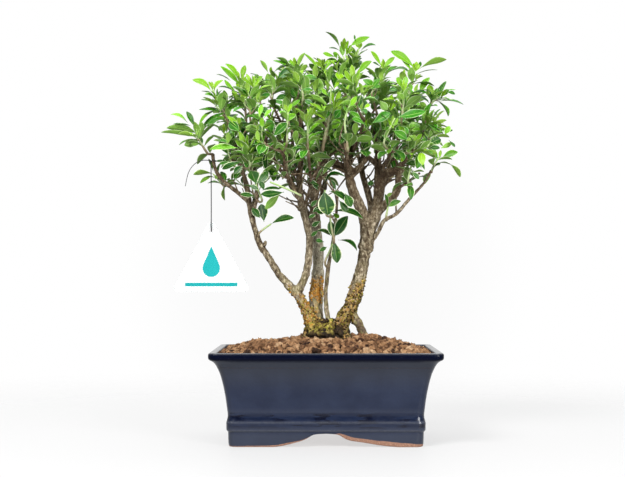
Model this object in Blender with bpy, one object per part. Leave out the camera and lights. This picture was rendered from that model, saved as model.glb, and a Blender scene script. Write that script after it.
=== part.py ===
"""Serissa bonsai in its glazed rectangular pot, with a plain hang tag on a wire.

Sizes are in millimetres and become metres where a mesh is made. Places are measured from the
middle of the pot's underside: +X to the right, +Y to the back, +Z up. POT_X and POT_Y then set
the whole object so that the box around pot and tree stands centred on the origin.
"""
import math
import random

import bmesh
import bpy
from mathutils import Matrix, Vector
from mathutils.bvhtree import BVHTree

MM = 0.001
GAP = 0.3
POT_X = 12.5
POT_Y = 1.8
UP = Vector((0, 0, 1))
WELD = 0.000001

RIM_HALF_LENGTH = 102.5
RIM_HALF_DEPTH = 77.5
POT_HEIGHT = 83.0
RIM_WIDTH = 7.0
CORNER_RADIUS = 7.0
CORNER_STEPS = 3
FLOOR_UNDERSIDE = 12.0
FLOOR_TOP = 18.0
FOOT_WALL = 10.0
DRAIN_RADIUS = 7.0
DRAIN_OFFSET = 45.0
# Height on the wall's outside, and how far the wall has drawn in from the rim's edge there.
POT_OUTSIDE = [
    (0.0, 19.5), (3.0, 17.9), (13.6, 17.8), (15.0, 16.2), (22.5, 16.2), (24.2, 17.0),
    (27.5, 18.0), (31.0, 17.9), (40.0, 16.4), (50.0, 14.4), (58.0, 12.4), (65.0, 10.2),
    (70.5, 7.6), (74.5, 4.2), (76.6, 1.0), (78.0, 0.1), (81.8, 0.0), (POT_HEIGHT, 1.2),
]
# The same wall's inside above the floor.
POT_INSIDE = [
    (FLOOR_TOP, 27.0), (23.0, 24.6), (34.0, 24.4), (48.0, 22.0), (60.0, 18.8), (68.0, 15.6),
    (74.0, 11.6), (78.0, RIM_WIDTH + 1.2), (82.0, RIM_WIDTH), (POT_HEIGHT + 1.0, RIM_WIDTH),
]
# Half of the cloud-shaped gap between two feet: distance from its middle, and height.
FOOT_GAP = [(46.0, -1.0), (44.0, 0.0), (30.0, 2.6), (19.0, 5.4), (16.0, 8.2), (12.0, 11.4)]
SIDE_GAP_SCALE = 0.62
CUT_PAST = 20.0
MESH_MARGIN = 5.0
MESH_THICKNESS = 1.0

SOIL_TOP = 70.0
GRIT_TOP = 93.5
# Share of the grit's reach from its middle to the wall, and share of its height above the soil.
GRIT_DOME = [(1.0, 0.36), (0.88, 0.56), (0.7, 0.76), (0.5, 0.9), (0.28, 0.98), (0.1, 1.0)]

ROOT_CENTRE = (0.0, 0.0, 86.0)
ROOT_REACH = (21.0, 13.0, 17.0)
MOSS_CENTRE = (1.0, -3.0, 95.0)
MOSS_REACH = (27.0, 19.0, 12.0)

# Each limb: its radius at the start and at the end, and the points that its middle runs through.
LIMBS = [
    (6.2, 4.4, [(-9, -1, 94), (-14, -2, 107), (-19, -3, 122), (-28, -5, 137)]),
    (3.9, 2.6, [(-26, -5, 134), (-42, -7, 151), (-52, -9, 167), (-60, -10, 179), (-66, -11, 197),
                (-69, -12, 210), (-71, -12, 221)]),
    (2.2, 1.5, [(-71, -12, 219), (-80, -13, 227), (-95, -14, 239), (-102, -14, 250),
                (-104, -15, 263)]),
    (2.1, 1.3, [(-70, -12, 218), (-73, -8, 236), (-79, -4, 253), (-83, -2, 269), (-87, -2, 282)]),
    (1.7, 1.2, [(-70, -12, 214), (-73, -19, 231), (-75, -26, 242), (-76, -31, 252)]),
    (1.8, 1.2, [(-69, -12, 207), (-65, 4, 230), (-66, 20, 248), (-68, 34, 264)]),
    (3.9, 3.2, [(-27, -5, 135), (-21, -5, 146), (-17, -4, 158), (-15, -3, 184), (-18, -4, 200),
                (-22, -5, 214)]),
    (3.1, 1.6, [(-22, -5, 212), (-24, -6, 231), (-24, -5, 247), (-21, -2, 269), (-22, 0, 289),
                (-28, -3, 311)]),
    (2.0, 1.2, [(-24, -6, 228), (-33, -10, 239), (-43, -14, 250), (-50, -16, 264),
                (-57, -16, 281)]),
    (1.8, 1.2, [(-22, -6, 217), (-30, -20, 231), (-36, -34, 244), (-38, -45, 262)]),
    (1.8, 1.2, [(-24, -6, 239), (-31, -2, 254), (-36, 4, 269), (-39, 8, 288), (-46, 6, 303)]),
    (1.6, 1.1, [(-78, -4, 250), (-76, -2, 275), (-74, 0, 294)]),
    (1.7, 1.1, [(-69, -12, 205), (-64, -22, 216), (-62, -28, 225)]),
    (1.6, 1.1, [(-50, -16, 263), (-60, -22, 277), (-66, -25, 288)]),
    (1.6, 1.1, [(-21, -3, 262), (-22, -16, 276), (-24, -26, 290)]),
    (1.7, 1.1, [(-21, -6, 212), (-14, -12, 232), (-8, -16, 246), (-4, -18, 262), (1, -20, 279)]),
    (6.6, 5.4, [(-5, 4, 94), (-8, 6, 110), (-9, 8, 128), (-8, 9, 146), (-7, 10, 165),
                (-8, 12, 184), (-10, 14, 202)]),
    (5.2, 1.7, [(-10, 14, 200), (-11, 15, 220), (-8, 14, 236), (-4, 12, 253), (0, 10, 272),
                (2, 8, 293), (8, 2, 314)]),
    (1.6, 1.1, [(1, 9, 278), (-2, 13, 292), (-3, 14, 307)]),
    (2.3, 1.2, [(-10, 14, 198), (-20, 26, 216), (-32, 38, 238), (-42, 46, 261),
                (-52, 44, 284), (-60, 41, 300)]),
    (1.8, 1.1, [(-32, 38, 237), (-31, 41, 268), (-34, 42, 308)]),
    (2.4, 1.2, [(-10, 15, 206), (-4, 30, 226), (0, 44, 246), (1, 53, 262), (10, 60, 277)]),
    (1.8, 1.1, [(-3, 32, 228), (-8, 41, 256), (-8, 46, 290), (-7, 48, 314)]),
    (1.6, 1.1, [(0, 44, 245), (-14, 54, 264), (-25, 59, 277)]),
    (1.7, 1.2, [(-66, 20, 247), (-77, 26, 266), (-86, 30, 279)]),
    (1.9, 1.1, [(-11, 14, 214), (-13, -6, 229), (-14, -30, 241), (-15, -50, 256)]),
    (2.3, 1.2, [(4, -3, 98), (0, -4, 128), (1, -6, 146), (3, -8, 163), (6, -10, 178),
                (8, -12, 194), (10, -12, 211), (11, -10, 230)]),
    (8.6, 6.0, [(9, -3, 95), (17, -4, 113), (23, -4, 122), (27, -3, 134), (31, -2, 148),
                (35, 0, 165), (37, 0, 179)]),
    (6.4, 6.4, [(37, 0, 176), (40, 0, 193), (42, 1, 202)]),
    (4.4, 2.6, [(39, 0, 189), (36, -2, 204), (31, -4, 217), (25, -6, 230), (22, -7, 242),
                (21, -8, 252)]),
    (2.2, 1.2, [(22, -8, 246), (11, -6, 251), (0, -2, 257), (-10, 4, 268), (-17, 10, 284)]),
    (2.2, 1.3, [(21, -8, 249), (24, -6, 265), (28, -2, 284), (28, 3, 304), (24, 8, 320)]),
    (1.7, 1.1, [(24, -6, 264), (31, -20, 280), (35, -32, 293)]),
    (1.8, 1.1, [(22, -7, 241), (19, -24, 256), (17, -38, 270)]),
    (4.8, 2.9, [(42, 1, 198), (46, 2, 208), (49, 3, 222), (50, 3, 238), (50, 2, 254)]),
    (2.6, 1.4, [(50, 2, 250), (48, 2, 266), (46, 0, 282), (48, -2, 301)]),
    (2.4, 1.4, [(50, 2, 245), (61, 0, 248), (70, -4, 255), (80, -8, 265), (88, -10, 275)]),
    (1.6, 1.1, [(82, -9, 267), (89, -5, 281), (93, -2, 292)]),
    (2.2, 1.3, [(51, 2, 251), (62, 0, 263), (68, -2, 278), (73, -4, 297)]),
    (1.7, 1.1, [(62, 0, 262), (66, -16, 275), (67, -28, 285)]),
    (1.7, 1.1, [(48, 2, 264), (52, 10, 282), (56, 17, 297)]),
    (1.8, 1.1, [(50, 2, 239), (54, -18, 252), (59, -36, 263)]),
    (2.1, 1.2, [(49, 3, 219), (55, 18, 237), (59, 34, 253), (62, 47, 268)]),
    (1.7, 1.1, [(59, 33, 252), (67, 36, 273), (74, 36, 290)]),
    (1.7, 1.1, [(55, 17, 236), (70, 24, 254), (83, 29, 270)]),
    (3.0, 1.3, [(43, 3, 204), (42, 10, 219), (38, 14, 235), (34, 20, 251), (36, 30, 269),
                (36, 40, 289), (43, 43, 303)]),
    (1.7, 1.1, [(34, 20, 249), (30, 34, 273), (25, 44, 300), (24, 46, 314)]),
    (2.6, 1.6, [(47, 2, 208), (57, -5, 219), (66, -9, 229), (67, -10, 240), (67, -8, 251)]),
    (2.1, 1.1, [(38, -1, 178), (47, -5, 189), (54, -9, 202), (65, -11, 208), (78, -12, 223),
                (90, -13, 236), (97, -13, 248)]),
    (1.5, 1.0, [(66, -9, 231), (75, -12, 237), (86, -20, 245)]),
    (3.3, 4.0, [(26, -4, 125), (33, -4, 112), (35, -3, 101), (37, -2, 86)]),
]

# Each leafy shoot: where it leaves the branches, and where its last pair of leaves opens.
SHOOTS = [
    ((-105, -15, 268), (-122, -20, 287)), ((-90, -8, 287), (-105, -10, 317)),
    ((-74, 0, 300), (-79, -4, 331)), ((-67, -25, 294), (-66, -32, 321)),
    ((-51, 5, 311), (-54, 5, 341)), ((-33, -3, 322), (-28, -8, 347)),
    ((-97, -10, 241), (-116, -5, 244)), ((-76, -36, 258), (-79, -50, 274)),
    ((-61, -32, 231), (-52, -46, 248)), ((-58, -36, 275), (-56, -54, 296)),
    ((-38, -50, 276), (-38, -64, 303)), ((-24, -28, 298), (-21, -44, 321)),
    ((9, 0, 322), (17, 0, 357)), ((23, 10, 328), (31, 13, 361)),
    ((-2, 14, 314), (-8, 17, 346)), ((50, 0, 317), (54, -4, 346)),
    ((76, -5, 311), (81, -10, 341)), ((35, -34, 300), (32, -50, 326)),
    ((4, -22, 290), (5, -34, 316)), ((17, -44, 279), (21, -61, 303)),
    ((94, -1, 297), (109, 0, 318)), ((93, -11, 284), (110, -14, 292)),
    ((100, -13, 258), (113, -15, 270)), ((82, -35, 257), (93, -49, 272)),
    ((67, -30, 290), (70, -45, 314)), ((60, -46, 275), (63, -64, 294)),
    ((76, -24, 240), (85, -40, 250)), ((56, 18, 304), (54, 25, 328)),
    ((5, -20, 198), (1, -32, 214)), ((12, -17, 180), (17, -23, 193)),
    ((9, -12, 164), (17, -17, 175)), ((-57, -12, 189), (-49, -15, 198)),
    ((-37, -47, 246), (-33, -62, 257)), ((56, -13, 203), (62, -17, 216)),
    ((-16, -58, 264), (-16, -72, 285)), ((-87, 30, 285), (-97, 42, 313)),
    ((-61, 40, 308), (-67, 50, 336)), ((-34, 42, 317), (-36, 50, 346)),
    ((-7, 48, 324), (-4, 55, 353)), ((24, 46, 324), (26, 54, 353)),
    ((50, 44, 317), (58, 52, 347)), ((76, 36, 298), (88, 46, 321)),
    ((88, 30, 276), (105, 40, 289)), ((-78, 36, 261), (-94, 48, 276)),
    ((-26, 60, 284), (-29, 67, 311)), ((13, 63, 284), (16, 70, 312)),
    ((60, 54, 279), (61, 66, 302)), ((-55, 46, 258), (-65, 60, 274)),
    ((68, 32, 253), (82, 46, 262)),
]
LIMB_STEP = 14.0
# Limbs thicker than these radii get six and eight sides, and thinner ones four.
ROUNDER_ABOVE = (2.5, 6.0)
TWIG_STEP = 12.0
# A shoot starts this far from the next one, goes straight out of the bark for its stub, and
# rather takes a limb's end that is further off by the bonus.
START_SPACING = 6.0
SHOOT_STUB = 4.0
SHOOT_RISE = 1.5
END_BONUS = 4.0
TWIG_BASE = 1.1
TWIG_TIP = 0.7
# A shoot's leaves start at most this far below its tip, and at most this share of its length.
LEAFY_LENGTH = 34.0
LEAFY_SHARE = 0.75
LEAF_SPACING = 11.0
LEAF_LENGTH = (17.0, 24.0)
LEAF_WIDTH_SHARE = 0.4
LEAF_THICKNESS = 1.4
# How far the middle of a leaf stands above the line from its base to its tip, as a share of it.
LEAF_ARCH = 0.1
# A leaf's solid starts this far behind the middle of its twig, and pairs differ by this turn.
LEAF_START = 0.4
TURN_PLAY = 0.3
# Degrees between twig and leaf in a low pair and in the tuft, and how much steeper high pairs are.
PAIR_SPREAD = (50, 72)
PAIR_STEEPER = 16
PAIR_SHORTER = 0.2
TOWARDS_LIGHT = 0.12
TUFT_LEAVES = 3
TUFT_BELOW_TIP = 1.0
TUFT_SPREAD = (22, 48)
TUFT_LENGTH = (13, 19)
LONG_LEAF_BELOW_TIP = 2.0
# Leaves of one shoot may cross over this first share of their length, where they join.
JOINED_SHARE = 0.3
LEAF_ROOM = 0.4
# Leaves that reach furthest: the shoot that bears each, and the place of its tip.
LONG_LEAVES = [
    (0, (-154, -22, 284)), (6, (-138, -14, 246)), (20, (129, -4, 310)), (21, (128, -15, 297)),
    (22, (127, -18, 246)), (12, (-1, -3, 378)), (13, (47, 10, 373)), (16, (103, -12, 353)),
]

TAG_Y = -16.0
TAG_APEX = (-105.0, 204.0)
TAG_HALF_WIDTH = 36.5
TAG_FOOT = 136.5
TAG_CORNER = 3.5
TAG_CORNER_STEPS = 4
TAG_THICKNESS = 0.8
TAG_HOLE = 193.0
TAG_HOLE_RADIUS = 2.6
WIRE_RADIUS = 0.45
WIRE_HOOK = 1.8
WIRE_TOP = (-103.3, -14.7, 257.0)
WIRE_RING = 2.6
WIRE_RING_TURN = 300
WIRE_RING_START = -100
WIRE_RING_STEPS = 10
WIRE_RING_DROP = 1.2
WIRE_STEP = 3.0
HOOK_STEPS = 4
HOOK_END = 5.0

NAVY_GLAZE = (0.022, 0.031, 0.068)
BARK = (0.3, 0.22, 0.15)
DARK_SOIL = (0.09, 0.06, 0.04)
TAN_GRIT = (0.38, 0.2, 0.11)
MOSS_GREEN = (0.16, 0.2, 0.03)
LEAF_GREEN = (0.08, 0.24, 0.04)
TAG_WHITE = (0.9, 0.95, 0.94)
BLACK = (0.01, 0.01, 0.01)


def place(x, y, z):
    """A point in metres in the object's frame, from millimetres measured from the pot."""
    return Vector((x + POT_X, y + POT_Y, z)) * MM


def new_collection(name):
    """A collection linked to the scene."""
    group = bpy.data.collections.new(name)
    bpy.context.scene.collection.children.link(group)
    return group


def paint(piece, colour, roughness, sharp_above=40):
    """Give a piece its own Principled material, and smooth shading except at sharp edges."""
    material = bpy.data.materials.new(piece.name)
    material.use_nodes = True
    shader = material.node_tree.nodes["Principled BSDF"]
    shader.inputs["Base Color"].default_value = (*colour, 1.0)
    shader.inputs["Roughness"].default_value = roughness
    shader.inputs["Metallic"].default_value = 0.0
    piece.data.materials.clear()
    piece.data.materials.append(material)
    piece.data.shade_smooth()
    piece.data.set_sharp_from_angle(angle=math.radians(sharp_above))


def add_object(name, shape, group):
    """A named object from a bmesh, put in a collection."""
    mesh = bpy.data.meshes.new(name)
    shape.to_mesh(mesh)
    shape.free()
    piece = bpy.data.objects.new(name, mesh)
    group.objects.link(piece)
    return piece


def frozen(piece):
    """The same object with its curve or modifiers made into one welded mesh."""
    bpy.context.view_layer.update()
    evaluated = piece.evaluated_get(bpy.context.evaluated_depsgraph_get())
    mesh = bpy.data.meshes.new_from_object(evaluated)
    shape = bmesh.new()
    shape.from_mesh(mesh)
    bpy.data.meshes.remove(mesh)
    bmesh.ops.remove_doubles(shape, verts=shape.verts, dist=WELD)
    bmesh.ops.transform(shape, matrix=piece.matrix_world, verts=shape.verts)
    name = piece.name
    group = piece.users_collection[0]
    bpy.data.objects.remove(piece)
    return add_object(name, shape, group)


def combined(piece, others, operation, solver="EXACT"):
    """The first object after a union with, or a difference from, each of the others."""
    for other in others:
        change = piece.modifiers.new(operation.lower(), "BOOLEAN")
        change.operation = operation
        change.solver = solver
        change.object = other
    result = frozen(piece)
    if operation == "UNION":
        for other in others:
            bpy.data.objects.remove(other)
    return result


def hide_cutter(cutter):
    """Mark an object as a tool for cutting, which isn't part of the bonsai."""
    cutter.hide_render = True
    cutter.display_type = "WIRE"
    return cutter


def loft(name, rings, group):
    """A closed solid through rings of points, from its lowest ring to its highest."""
    shape = bmesh.new()
    loops = [[shape.verts.new(point) for point in ring] for ring in rings]
    for low, high in zip(loops, loops[1:]):
        for here in range(len(low)):
            there = (here + 1) % len(low)
            shape.faces.new((low[here], low[there], high[there], high[here]))
    shape.faces.new(reversed(loops[0]))
    shape.faces.new(loops[-1])
    return add_object(name, shape, group)


def prism(name, outline, sweep, group):
    """A flat outline of points drawn out along a vector in millimetres."""
    shape = bmesh.new()
    face = shape.faces.new([shape.verts.new(point) for point in outline])
    drawn = bmesh.ops.extrude_face_region(shape, geom=[face])
    moved = [item for item in drawn["geom"] if isinstance(item, bmesh.types.BMVert)]
    bmesh.ops.translate(shape, verts=moved, vec=Vector(sweep) * MM)
    bmesh.ops.recalc_face_normals(shape, faces=shape.faces)
    return add_object(name, shape, group)


def ellipsoid(name, centre, reach, group, grow=0.0, segments=14, rings=8):
    """A sphere drawn out to three half-sizes."""
    shape = bmesh.new()
    bmesh.ops.create_uvsphere(shape, u_segments=segments, v_segments=rings, radius=1.0)
    size = [(value + grow) * MM for value in reach]
    bmesh.ops.scale(shape, vec=size, verts=shape.verts)
    bmesh.ops.translate(shape, vec=place(*centre), verts=shape.verts)
    return add_object(name, shape, group)


def cylinder(name, centre, radius, depth, turn, group, segments=20):
    """A capped cylinder about a point, turned from upright by a matrix."""
    shape = bmesh.new()
    bmesh.ops.create_cone(shape, cap_ends=True, segments=segments, radius1=radius * MM,
                          radius2=radius * MM, depth=depth * MM,
                          matrix=Matrix.Translation(place(*centre)) @ turn)
    return add_object(name, shape, group)


def smooth_route(points, spacing):
    """Points about every spacing along a Catmull-Rom curve through the given points."""
    knots = [Vector(point) for point in points]
    ends = [2 * knots[0] - knots[1]] + knots + [2 * knots[-1] - knots[-2]]
    route = [knots[0]]
    for before, start, end, after in zip(ends, ends[1:], ends[2:], ends[3:]):
        steps = max(1, round((end - start).length / spacing))
        for step in range(1, steps + 1):
            t = step / steps
            route.append(0.5 * (2 * start + (end - before) * t
                                + (2 * before - 5 * start + 4 * end - after) * t ** 2
                                + (3 * start - before - 3 * end + after) * t ** 3))
    return route


def tube(name, route, radii, resolution, group):
    """A round rod along a route, from a bevelled curve with filled caps, as a mesh."""
    curve = bpy.data.curves.new(name, "CURVE")
    curve.dimensions = "3D"
    curve.bevel_depth = MM
    curve.bevel_resolution = resolution
    curve.use_fill_caps = True
    spline = curve.splines.new("POLY")
    spline.points.add(len(route) - 1)
    for knot, position, radius in zip(spline.points, route, radii):
        knot.co = (*place(*position), 1.0)
        knot.radius = radius
    piece = bpy.data.objects.new(name, curve)
    group.objects.link(piece)
    return frozen(piece)


def tapered(start, end, count):
    """Radii that run evenly from one value to another."""
    return [start + (end - start) * step / (count - 1) for step in range(count)]


def pot_ring(height, inset):
    """Points around the pot at a height, drawn in from the rim's edge, round at the corners."""
    half_x = RIM_HALF_LENGTH - inset
    half_y = RIM_HALF_DEPTH - inset
    signs = [(1, 1), (-1, 1), (-1, -1), (1, -1)]
    points = []
    for quarter, (side_x, side_y) in enumerate(signs):
        for step in range(CORNER_STEPS + 1):
            angle = (quarter + step / CORNER_STEPS) * math.pi / 2
            x = side_x * (half_x - CORNER_RADIUS) + CORNER_RADIUS * math.cos(angle)
            y = side_y * (half_y - CORNER_RADIUS) + CORNER_RADIUS * math.sin(angle)
            points.append(place(x, y, height))
    return points


def foot_gap_cutter(name, scale, turn, length, tools):
    """A prism longer than the pot, with the cloud outline of the gap between two feet."""
    half = [(distance * scale, height) for distance, height in FOOT_GAP]
    outline = half + [(-distance, height) for distance, height in reversed(half)]
    points = [place(*(turn @ Vector((x, -length / 2, z)))) for x, z in outline]
    return hide_cutter(prism(name, points, turn @ Vector((0, length, 0)), tools))


def make_pot(parts, tools):
    """The glazed pot: flared walls, a rim, four feet, a floor with two drain holes."""
    body = loft("pot", [pot_ring(*level) for level in POT_OUTSIDE], parts)
    hollow = hide_cutter(loft("cut_inside", [pot_ring(*level) for level in POT_INSIDE], tools))
    foot_inset = POT_OUTSIDE[1][1] + FOOT_WALL
    underside = [pot_ring(-1.0, foot_inset), pot_ring(FLOOR_UNDERSIDE, foot_inset + 1.0)]
    recess = hide_cutter(loft("cut_underside", underside, tools))
    quarter_turn = Matrix.Rotation(math.pi / 2, 3, "Z")
    front = foot_gap_cutter("cut_front_gap", 1.0, Matrix.Identity(3),
                            2 * (RIM_HALF_DEPTH + CUT_PAST), tools)
    side = foot_gap_cutter("cut_side_gap", SIDE_GAP_SCALE, quarter_turn,
                           2 * (RIM_HALF_LENGTH + CUT_PAST), tools)
    cutters = [hollow, recess, front, side]
    floor_middle = (FLOOR_UNDERSIDE + FLOOR_TOP) / 2
    for name, x in (("cut_drain_left", -DRAIN_OFFSET), ("cut_drain_right", DRAIN_OFFSET)):
        drain = cylinder(name, (x, 0, floor_middle), DRAIN_RADIUS, 2 * FLOOR_UNDERSIDE,
                         Matrix.Identity(4), tools)
        cutters.append(hide_cutter(drain))
    return combined(body, cutters, "DIFFERENCE")


def inside_at(height):
    """How far the pot's inner wall stands in from the rim's edge at a height."""
    for (low, low_inset), (high, high_inset) in zip(POT_INSIDE, POT_INSIDE[1:]):
        if low <= height <= high:
            return low_inset + (high_inset - low_inset) * (height - low) / (high - low)
    return POT_INSIDE[-1][1]


def make_drainage_mesh(name, x, parts):
    """A square of stiff plastic mesh over a drain hole."""
    bottom = FLOOR_TOP + GAP
    half = DRAIN_RADIUS + MESH_MARGIN
    outline = [place(x - half, -half, bottom), place(x + half, -half, bottom),
               place(x + half, half, bottom), place(x - half, half, bottom)]
    return prism(name, outline, (0, 0, MESH_THICKNESS), parts)


def make_limbs(name, group, grow=0.0):
    """Trunks, branches and root crown as one grown piece, optionally thicker all round."""
    pieces = [ellipsoid(name, ROOT_CENTRE, ROOT_REACH, group, grow)]
    for number, (start, end, points) in enumerate(LIMBS):
        route = smooth_route(points, LIMB_STEP)
        route[0] = route[0] + (route[0] - route[1]).normalized() * grow
        route[-1] = route[-1] + (route[-1] - route[-2]).normalized() * grow
        radii = tapered(start + grow, end + grow, len(route))
        roundness = sum(start > limit for limit in ROUNDER_ABOVE)
        pieces.append(tube(f"{name}_{number}", route, radii, roundness, group))
    return combined(pieces[0], pieces[1:], "UNION")


def make_soil(parts, limbs):
    """The root ball's soil, which fills the pot up to the grit."""
    bottom = FLOOR_TOP + MESH_THICKNESS + 2 * GAP
    bends = [height for height, _ in POT_INSIDE if bottom < height < SOIL_TOP]
    levels = [bottom] + bends + [SOIL_TOP]
    rings = [pot_ring(height, inside_at(height) + GAP) for height in levels]
    return combined(loft("soil", rings, parts), [limbs], "DIFFERENCE")


def make_grit(parts, tools, limbs):
    """The mound of grit over the soil, open where moss and roots come through."""
    low = SOIL_TOP + GAP
    edge = low + (GRIT_TOP - low) * GRIT_DOME[0][1]
    bends = [height for height, _ in POT_INSIDE if low < height < edge]
    rings = [pot_ring(height, inside_at(height) + GAP) for height in [low] + bends + [edge]]
    wall = RIM_WIDTH + GAP
    for reach, share in GRIT_DOME[1:]:
        height = low + (GRIT_TOP - low) * share
        ring = pot_ring(height, wall)
        middle = place(0, 0, height)
        rings.append([middle + (point - middle) * reach for point in ring])
    moss = hide_cutter(ellipsoid("cut_moss", MOSS_CENTRE, MOSS_REACH, tools, GAP))
    return combined(loft("grit", rings, parts), [moss, limbs], "DIFFERENCE")


def make_moss(parts, limbs):
    """The cushion of moss over the root crown, with the trunks standing through it."""
    return combined(ellipsoid("moss", MOSS_CENTRE, MOSS_REACH, parts), [limbs], "DIFFERENCE")


def branch_samples():
    """Places where a shoot can start: a point, how far the bark is from it, the limb's
    direction there, and whether it is the limb's end, where a shoot goes straight on."""
    samples = []
    for start, end, points in LIMBS:
        route = smooth_route(points, LIMB_STEP)
        radii = tapered(start, end, len(route))
        samples.append((route[-1], 0.0, (route[-1] - route[-2]).normalized(), True))
        for low, high, low_radius, high_radius in zip(route, route[1:], radii, radii[1:]):
            for share in (0.25, 0.5, 0.75):
                radius = low_radius + (high_radius - low_radius) * share
                samples.append((low.lerp(high, share), radius, (high - low).normalized(), False))
    return samples


def shoot_route(shoot, samples, taken):
    """A shoot's middle line, from just off the nearest free place on a limb to its last leaves."""
    base, tip = (Vector(point) for point in shoot)
    free = [sample for sample in samples
            if all((sample[0] - place_taken).length > START_SPACING for place_taken in taken)]
    here, bark, direction, is_end = min(
        free, key=lambda sample: (sample[0] - base).length - END_BONUS * sample[3])
    taken.append(here)
    away = base - here
    out = direction if is_end else (away - direction * away.dot(direction)).normalized()
    lean = direction * (0 if is_end else SHOOT_RISE)
    knots = [here + out * (bark + GAP), here + out * (bark + GAP + SHOOT_STUB) + lean]
    if (base - knots[1]).length > SHOOT_STUB and (base - tip).length < (knots[1] - tip).length:
        knots.append(base)
    return smooth_route(knots + [tip], TWIG_STEP)


def length_of(route):
    """A route's length."""
    return sum((end - start).length for start, end in zip(route, route[1:]))


def upper_face(heading):
    """The direction that a leaf's upper side looks, as far up as its own direction allows."""
    across = heading.cross(UP).normalized()
    return across.cross(heading).normalized()


def along(route, distance):
    """The point at a distance along a route, and the route's direction there."""
    for start, end in zip(route, route[1:]):
        length = (end - start).length
        if distance <= length or end is route[-1]:
            return start + (end - start) * min(1.0, distance / length), (end - start).normalized()
        distance -= length


def leaf_places(number, route):
    """One shoot's leaves as (base, tip, face): opposite pairs, each a quarter turn on from the
    last, then a tuft at the tip. Leaves high on the shoot are shorter and stand steeper."""
    draw = random.Random(number)
    total = length_of(route)
    leafy = min(total * LEAFY_SHARE, LEAFY_LENGTH)
    pairs = max(2, round(leafy / LEAF_SPACING))
    turn = draw.uniform(0, math.pi)
    leaves = []
    for pair in range(pairs):
        up_shoot = pair / pairs
        point, axis = along(route, total - leafy + leafy * up_shoot)
        side = axis.orthogonal().normalized()
        quarter = turn + pair * math.pi / 2 + draw.uniform(-TURN_PLAY, TURN_PLAY)
        side.rotate(Matrix.Rotation(quarter, 3, axis))
        for way in (1, -1):
            spread = math.radians(draw.uniform(*PAIR_SPREAD) - PAIR_STEEPER * up_shoot)
            heading = axis * math.cos(spread) + side * way * math.sin(spread)
            heading = (heading + UP * TOWARDS_LIGHT).normalized()
            length = draw.uniform(*LEAF_LENGTH) * (1 - PAIR_SHORTER * up_shoot)
            leaves.append((point, point + heading * length, upper_face(heading)))
    point, axis = along(route, total - TUFT_BELOW_TIP)
    for leaf in range(TUFT_LEAVES):
        side = axis.orthogonal().normalized()
        side.rotate(Matrix.Rotation(turn + leaf * math.tau / TUFT_LEAVES, 3, axis))
        spread = math.radians(draw.uniform(*TUFT_SPREAD))
        heading = (axis * math.cos(spread) + side * math.sin(spread)).normalized()
        length = draw.uniform(*TUFT_LENGTH)
        leaves.append((point, point + heading * length, upper_face(heading)))
    return leaves


def long_leaves(number, route):
    """The leaves on one shoot that reach furthest, as (base, tip, face)."""
    point, _ = along(route, length_of(route) - LONG_LEAF_BELOW_TIP)
    tips = [Vector(tip) for shoot, tip in LONG_LEAVES if shoot == number]
    return [(point, tip, upper_face((tip - point).normalized())) for tip in tips]


def leaf_solid(base, tip, face, grow=0.0):
    """A flat diamond-shaped leaf, widest at its middle and thickest along its midrib."""
    length = (tip - base).length + grow
    heading = (tip - base).normalized()
    across = face.cross(heading).normalized()
    shape = bmesh.new()
    bmesh.ops.create_uvsphere(shape, u_segments=4, v_segments=2, radius=1.0)
    width = length * LEAF_WIDTH_SHARE / 2 + grow
    bmesh.ops.scale(shape, vec=(width, LEAF_THICKNESS / 2 + grow, length / 2), verts=shape.verts)
    turn = Matrix((across, face, heading)).transposed().to_4x4()
    middle = (base + tip) / 2
    for corner in shape.verts:
        from_ends = 1 - 2 * abs(corner.co.z) / length
        lift = face * length * LEAF_ARCH * from_ends
        corner.co = place(*(middle + lift + (turn @ corner.co)))
    return shape


def touches(shape, others):
    """Whether a shape, as its box and search tree, meets any of the others."""
    (low, high), tree = shape
    for (other_low, other_high), other in others:
        boxes_meet = all(low[k] <= other_high[k] and other_low[k] <= high[k] for k in range(3))
        if boxes_meet and tree.overlap(other):
            return True
    return False


def search_tree(shape):
    """A bmesh's box and its search tree. The bmesh itself is let go."""
    low = [min(corner.co[k] for corner in shape.verts) for k in range(3)]
    high = [max(corner.co[k] for corner in shape.verts) for k in range(3)]
    tree = BVHTree.FromBMesh(shape)
    shape.free()
    return (low, high), tree


def object_tree(piece):
    """An object's box and its search tree."""
    shape = bmesh.new()
    shape.from_mesh(piece.data)
    return search_tree(shape)


def clear_leaves(number, route, others):
    """The leaves of one shoot that clear everything else, each as (base, tip, face), and their
    boxes and search trees with room around them."""
    leaves = []
    rooms = []
    blades = []
    for base, tip, face in long_leaves(number, route) + leaf_places(number, route):
        start = base - (tip - base).normalized() * LEAF_START
        room = search_tree(leaf_solid(start, tip, face, LEAF_ROOM))
        blade = search_tree(leaf_solid(start.lerp(tip, JOINED_SHARE), tip, face))
        if not touches(room, others) and not touches(blade, blades):
            leaves.append((start, tip, face))
            rooms.append(room)
            blades.append(blade)
    return leaves, rooms


def make_shoots(parts, limbs, wire):
    """Every leafy shoot as its own piece, with leaves only where they clear the other shoots."""
    samples = branch_samples()
    taken = []
    routes = [shoot_route(shoot, samples, taken) for shoot in SHOOTS]
    twigs = []
    for number, route in enumerate(routes):
        radii = tapered(TWIG_BASE, TWIG_TIP, len(route))
        twigs.append(tube(f"shoot_{number + 1:02d}", route, radii, 0, parts))
    stems = [object_tree(twig) for twig in twigs]
    filled = [object_tree(limbs), object_tree(wire)]
    shoots = []
    for number, (twig, route) in enumerate(zip(twigs, routes)):
        other_stems = stems[:number] + stems[number + 1:]
        leaves, rooms = clear_leaves(number, route, filled + other_stems)
        filled += rooms
        blades = [add_object(f"leaf_{number}", leaf_solid(*leaf), parts) for leaf in leaves]
        shoots.append(combined(twig, blades, "UNION", "MANIFOLD"))
    return shoots


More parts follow.
